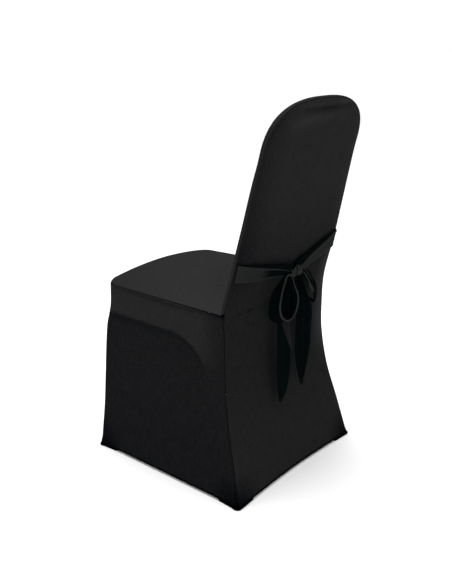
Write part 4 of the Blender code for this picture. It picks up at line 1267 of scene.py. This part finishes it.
def add_node(tree, kind, inputs=(), **settings):
    """A node with its settings made and its inputs set or linked."""
    made = tree.nodes.new(kind)
    for name, value in settings.items():
        setattr(made, name, value)
    for name, value in dict(inputs).items():
        if isinstance(value, bpy.types.NodeSocket):
            tree.links.new(value, made.inputs[name])
        else:
            made.inputs[name].default_value = value
    return made


def work_out(tree, operation, *values):
    """One step of arithmetic."""
    return add_node(tree, "ShaderNodeMath", enumerate(values), operation=operation).outputs[0]


def noise(tree, cloth, scale, detail, **more):
    """A cloudy pattern that lies on the cloth."""
    inputs = {"Vector": cloth, "Scale": scale, "Detail": detail, **more}
    return add_node(tree, "ShaderNodeTexNoise", inputs).outputs["Fac"]


def new_group(name, inputs, outputs):
    tree = bpy.data.node_groups.new(name, "ShaderNodeTree")
    for label, kind in inputs:
        tree.interface.new_socket(label, in_out="INPUT", socket_type=kind)
    for label, kind in outputs:
        tree.interface.new_socket(label, in_out="OUTPUT", socket_type=kind)
    return tree, tree.nodes.new("NodeGroupInput"), tree.nodes.new("NodeGroupOutput")


def knit_group():
    """A fine warp knit: upright wales, courses across them, and the slight streaks of the yarn."""
    tree, given, made = new_group(
        "warp_knit",
        (("Cloth", "NodeSocketVector"), ("Wale Pitch", "NodeSocketFloat"), ("Course Pitch", "NodeSocketFloat")),
        (("Height", "NodeSocketFloat"), ("Streaks", "NodeSocketFloat")),
    )
    cloth = given.outputs["Cloth"]
    parts = add_node(tree, "ShaderNodeSeparateXYZ", {"Vector": cloth}).outputs
    across = work_out(tree, "MULTIPLY", parts["X"], FULL_TURN)
    along = work_out(tree, "MULTIPLY", parts["Y"], FULL_TURN)
    wales = work_out(tree, "DIVIDE", across, given.outputs["Wale Pitch"])
    courses = work_out(tree, "DIVIDE", along, given.outputs["Course Pitch"])
    ribs = work_out(tree, "ABSOLUTE", work_out(tree, "SINE", wales))
    stitches = work_out(tree, "SINE", work_out(tree, "ADD", courses, work_out(tree, "MULTIPLY", ribs, 1.4)))
    height = work_out(tree, "MULTIPLY_ADD", stitches, STITCH_BUMP, ribs)
    height = work_out(tree, "MULTIPLY_ADD", noise(tree, cloth, 900.0, 3.0), FUZZ_BUMP, height)
    stretched = add_node(tree, "ShaderNodeMapping", {"Vector": cloth, "Scale": (260.0, 46.0, 1.0)}).outputs[0]
    streaks = work_out(tree, "MULTIPLY", noise(tree, stretched, 1.0, 2.0), YARN_SHARE)
    streaks = work_out(tree, "MULTIPLY_ADD", noise(tree, cloth, 34.0, 4.0, Roughness=0.6), CLOUD_SHARE, streaks)
    streaks = work_out(tree, "MULTIPLY_ADD", noise(tree, cloth, 330.0, 1.0), GRAIN_SHARE, streaks)
    tree.links.new(height, made.inputs["Height"])
    tree.links.new(streaks, made.inputs["Streaks"])
    return tree


def stitch_group():
    """A row of stitches: dashes at one distance from an edge."""
    tree, given, made = new_group(
        "stitch_row",
        [(label, "NodeSocketFloat") for label in ("Gap", "Run", "At", "Pitch", "Width")],
        (("Thread", "NodeSocketFloat"),),
    )
    off = work_out(tree, "ABSOLUTE", work_out(tree, "SUBTRACT", given.outputs["Gap"], given.outputs["At"]))
    line = work_out(tree, "SUBTRACT", 1.0, work_out(tree, "DIVIDE", off, given.outputs["Width"]))
    line = work_out(tree, "MAXIMUM", line, 0.0)
    turns = work_out(tree, "MULTIPLY", given.outputs["Run"], FULL_TURN)
    turns = work_out(tree, "DIVIDE", turns, given.outputs["Pitch"])
    dash = work_out(tree, "GREATER_THAN", work_out(tree, "SINE", turns), -0.35)
    tree.links.new(work_out(tree, "MULTIPLY", line, dash), made.inputs["Thread"])
    return tree


def read_attribute(tree, name):
    return add_node(tree, "ShaderNodeAttribute", attribute_name=name, attribute_type="GEOMETRY").outputs["Fac"]


def stitch_row(tree, stitches, gap, run, at, pitch, width):
    inputs = {"Gap": gap, "Run": run, "At": at, "Pitch": pitch, "Width": width}
    return add_node(tree, "ShaderNodeGroup", inputs, node_tree=stitches).outputs["Thread"]


def cloth_finish(name, knit, stitches, dark, pale, mottle, look):
    """Black stretch cloth: paler where its tone attribute says, which holds stretch and painted light and
    shade, with its knit, seams and hem stitches.
    """
    made = bpy.data.materials.new(name)
    made.use_nodes = True
    tree = made.node_tree
    shader = tree.nodes["Principled BSDF"]
    for socket, value in look.items():
        shader.inputs[socket].default_value = value
    cloth = add_node(tree, "ShaderNodeUVMap", uv_map="cloth").outputs["UV"]
    pitches = {"Cloth": cloth, "Wale Pitch": WALE_PITCH, "Course Pitch": COURSE_PITCH}
    weave = add_node(tree, "ShaderNodeGroup", pitches, node_tree=knit).outputs
    # the tone attribute holds the cloth's tone with painted light and shade
    share = work_out(tree, "MULTIPLY_ADD", weave["Streaks"], mottle, read_attribute(tree, "taut"))
    share = work_out(tree, "SUBTRACT", share, mottle / 2.0)
    share.node.use_clamp = True
    tone = add_node(tree, "ShaderNodeMix", data_type="RGBA")
    factor, _, _, _, _, _, first, second = list(tone.inputs)[:8]
    tree.links.new(share, factor)
    first.default_value = (*dark, 1.0)
    second.default_value = (*pale, 1.0)
    colour = tone.outputs[2]
    height = weave["Height"]
    if stitches:
        hem_gap, seam_gap = read_attribute(tree, "hem_gap"), read_attribute(tree, "seam_gap")
        along = add_node(tree, "ShaderNodeSeparateXYZ", {"Vector": cloth}).outputs["X"]
        rows = [stitch_row(tree, stitches, hem_gap, along, at, *HEM_STITCHES) for at in HEM_STITCH_ROWS]
        seam_run = read_attribute(tree, "seam_run")
        pulls = stitch_row(tree, stitches, seam_gap, seam_run, SEAM_PULLS_AT, *SEAM_PULLS)
        height = work_out(tree, "MULTIPLY_ADD", work_out(tree, "MAXIMUM", *rows), THREAD_BUMP, height)
        height = work_out(tree, "MULTIPLY_ADD", pulls, PULL_BUMP, height)
        depth = work_out(tree, "MINIMUM", work_out(tree, "DIVIDE", seam_gap, SEAM_LINE), 1.0)
        lit = work_out(tree, "MAXIMUM", depth, SEAM_LIGHT)
        shaded = add_node(tree, "ShaderNodeVectorMath", {"Vector": colour}, operation="SCALE")
        tree.links.new(lit, shaded.inputs["Scale"])
        colour = shaded.outputs[0]
    bump = add_node(tree, "ShaderNodeBump", {"Height": height, "Strength": 0.35, "Distance": 0.0003})
    tree.links.new(colour, shader.inputs["Base Color"])
    tree.links.new(bump.outputs["Normal"], shader.inputs["Normal"])
    least = look["Roughness"] - STREAK_ROUGHNESS / 2.0
    rough = work_out(tree, "MULTIPLY_ADD", weave["Streaks"], STREAK_ROUGHNESS, least)
    tree.links.new(rough, shader.inputs["Roughness"])
    return made


# Building the cover

NEAR_EDGE = (0.0, 0.06, 0.14, 0.24, 0.36, 0.50, 0.66, 0.82, 1.0)  # grid lines in the band beside a seam
BULGE_LINES = (0.0, 0.12, 0.28, 0.46, 0.64, 0.82, 1.0)  # up to the widest line of the bulge
RIM_LINES = (0.14, 0.30, 0.48, 0.66, 0.83, 1.0)  # and on over the rim
HEM_ROWS = (0.0, 0.0008, 0.0018, 0.0030, 0.0045, 0.0062, 0.0080, 0.0098, 0.0112, 0.0122, 0.0134, 0.0146, 0.0165,
            0.0195, 0.0235, 0.0280, 0.0330)


def turned_about(values):
    """The same grid lines, counted from the other end."""
    return [1.0 - value for value in reversed(values)]


def between(start, end, steps):
    """Even grid lines between two others."""
    return [mix(start, end, share) for share in lines((1.0, steps))[1:-1]]


def seam_lines(edge, middle):
    """Grid lines from 0 to 1, close together in the band beside each end."""
    near_end = [edge * share for share in NEAR_EDGE]
    return near_end + between(edge, 1.0 - edge, middle) + turned_about(near_end)


def up_from_hem(height, edge, middle):
    """Grid lines up a panel: close together in the hem, then even, then close together at its top."""
    hem_rows = [row / height for row in HEM_ROWS]
    top = turned_about([edge * share for share in NEAR_EDGE])
    return hem_rows + between(hem_rows[-1], top[0], middle) + top


def make_panels(stretch, doubled):
    rear_across = seam_lines(BAND, 120)
    rear_up = up_from_hem(SHOULDER - HEM_HEIGHT, BAND / REAR_REACH, 140)
    ring = [BACK_BAND * BULGE_SHARE * share for share in BULGE_LINES]
    ring += [mix(BACK_BAND * BULGE_SHARE, BACK_BAND, share) for share in RIM_LINES]
    inside_across = ring + between(BACK_BAND, 1.0 - BACK_BAND, 60) + turned_about(ring)
    inside_up = [(1.0 - BACK_BAND) * share for share in lines((0.02, 4), (0.06, 3), (1.0, 70))[:-1]]
    inside_up += turned_about(ring)
    seat_across = seam_lines(BAND, 70)
    skirt_up = up_from_hem(SEAT_REAR_HEIGHT, 1.0 - TOP_ARC_START, 78)
    side = lines((REAR_ARC_END * 0.08, 1), (REAR_ARC_END * 0.2, 1), (REAR_ARC_END * 0.4, 1), (REAR_ARC_END, 4),
                 (FRONT_ARC_START, 118), (0.99, 14), (1.0, 3))
    front = lines((0.01, 3), (FRONT_ARC, 9), (1.0 - FRONT_ARC, 90), (0.99, 9), (1.0, 3))
    three_seams, four_seams = ("left", "right", "top"), ("left", "right", "top", "bottom")
    panels = (
        # piece, node, place, grid lines across and up, relief, tone with painted light and shade, turned over,
        # seams, flat size
        ("rear_panel_cloth", "rear_panel", rear_panel, rear_across, rear_up,
         rear_relief, rear_taut, False, three_seams, (0.49, 0.96)),
        ("inside_back_cloth", "inside_back", inside_back, inside_across, inside_up,
         inside_relief, inside_taut, True, four_seams, (0.48, 0.54)),
        ("seat_cloth", "seat_panel", seat_panel, seat_across, turned_about(seat_across),
         seat_relief, seat_taut, False, three_seams, (0.44, 0.40)),
        ("left_skirt_cloth", "left_skirt", left_skirt, side, skirt_up,
         left_relief, side_taut, True, three_seams, (0.48, 0.47)),
        ("right_skirt_cloth", "right_skirt", other_side(left_skirt), turned_about(side), skirt_up,
         right_relief, side_taut, True, three_seams, (0.48, 0.47)),
        ("front_skirt_cloth", "front_skirt", front_skirt, front, skirt_up,
         hung_relief, front_taut, True, three_seams, (0.46, 0.47)),
    )
    for name, node, place, across, up, relief, taut, turned, sewn, flat in panels:
        piece = lay_cloth(name, place, across, up, relief, taut, flip=turned, sewn=sewn)
        stand_for(piece, node, stretch)

    round_hem = lines((1.0, 60))
    shelf = lines((SHELF_END, 8), (TURN_END, 10), (1.0, 5))
    rear_pocket, front_pocket = partial(pocket, rear_corner), partial(pocket, front_corner)
    pockets = {
        "left_rear_pocket": rear_pocket,
        "left_front_pocket": front_pocket,
        "right_rear_pocket": other_side(rear_pocket),
        "right_front_pocket": other_side(front_pocket),
    }
    for node, place in pockets.items():
        piece = lay_cloth(f"{node}_cloth", place, round_hem, shelf, pocket_relief, pocket_in_painted_shade,
                          thickness=POCKET_CLOTH)
        stand_for(piece, node, doubled)


# Studio

FLOOR_GAP = -0.0004       # the floor lies just under the pockets


def add_light(name, place, aim, size, power):
    data = bpy.data.lights.new(name, "AREA")
    data.shape = "DISK"
    data.size = size
    data.energy = power
    light = bpy.data.objects.new(name, data)
    light.location = place
    light.rotation_euler = (Vector(aim) - Vector(place)).to_track_quat("-Z", "Y").to_euler()
    bpy.context.scene.collection.objects.link(light)


def plain_white(name):
    made = bpy.data.materials.new(name)
    made.use_nodes = True
    inputs = made.node_tree.nodes["Principled BSDF"].inputs
    inputs["Base Color"].default_value = (0.93, 0.93, 0.93, 1.0)
    inputs["Roughness"].default_value = 0.9
    inputs["Specular IOR Level"].default_value = 0.0
    return made


def make_studio():
    scene = bpy.context.scene
    scene.view_settings.view_transform = "Standard"
    scene.world = bpy.data.worlds.new("studio")
    scene.world.use_nodes = True
    background = scene.world.node_tree.nodes["Background"].inputs
    background["Color"].default_value = (1.0, 1.0, 1.0, 1.0)
    background["Strength"].default_value = 1.1
    add_light("overhead", (0.2, -0.2, 3.0), (0.0, 0.0, 0.4), 2.2, 60.0)
    bm = bmesh.new()
    bmesh.ops.create_grid(bm, x_segments=1, y_segments=1, size=60.0)
    bmesh.ops.translate(bm, vec=(0.0, 0.0, FLOOR_GAP), verts=bm.verts)
    mesh = bpy.data.meshes.new("floor")
    bm.to_mesh(mesh)
    bm.free()
    floor = bpy.data.objects.new("floor", mesh)
    scene.collection.objects.link(floor)
    mesh.materials.append(plain_white("pale_floor"))


def make_camera():
    data = bpy.data.cameras.new("camera")
    data.lens = 49.88
    data.sensor_width = 36.0
    data.clip_start, data.clip_end = 0.05, 300.0
    camera = bpy.data.objects.new("camera", data)
    camera.location = (1.5436, 1.2228, 1.066)
    camera.rotation_euler = (math.radians(72.11), 0.0, math.radians(128.72))
    bpy.context.scene.collection.objects.link(camera)
    bpy.context.scene.camera = camera


knit = knit_group()
stitches = stitch_group()
stretch_cloth = cloth_finish("stretch_cloth_finish", knit, stitches, *STRETCH_LOOK)
pocket_cloth = cloth_finish("pocket_cloth_finish", knit, None, *POCKET_LOOK)
tie_cloth = cloth_finish("tie_cloth_finish", knit, None, *TIE_LOOK)
make_panels(stretch_cloth, pocket_cloth)
make_ties(tie_cloth)
make_studio()
make_camera()
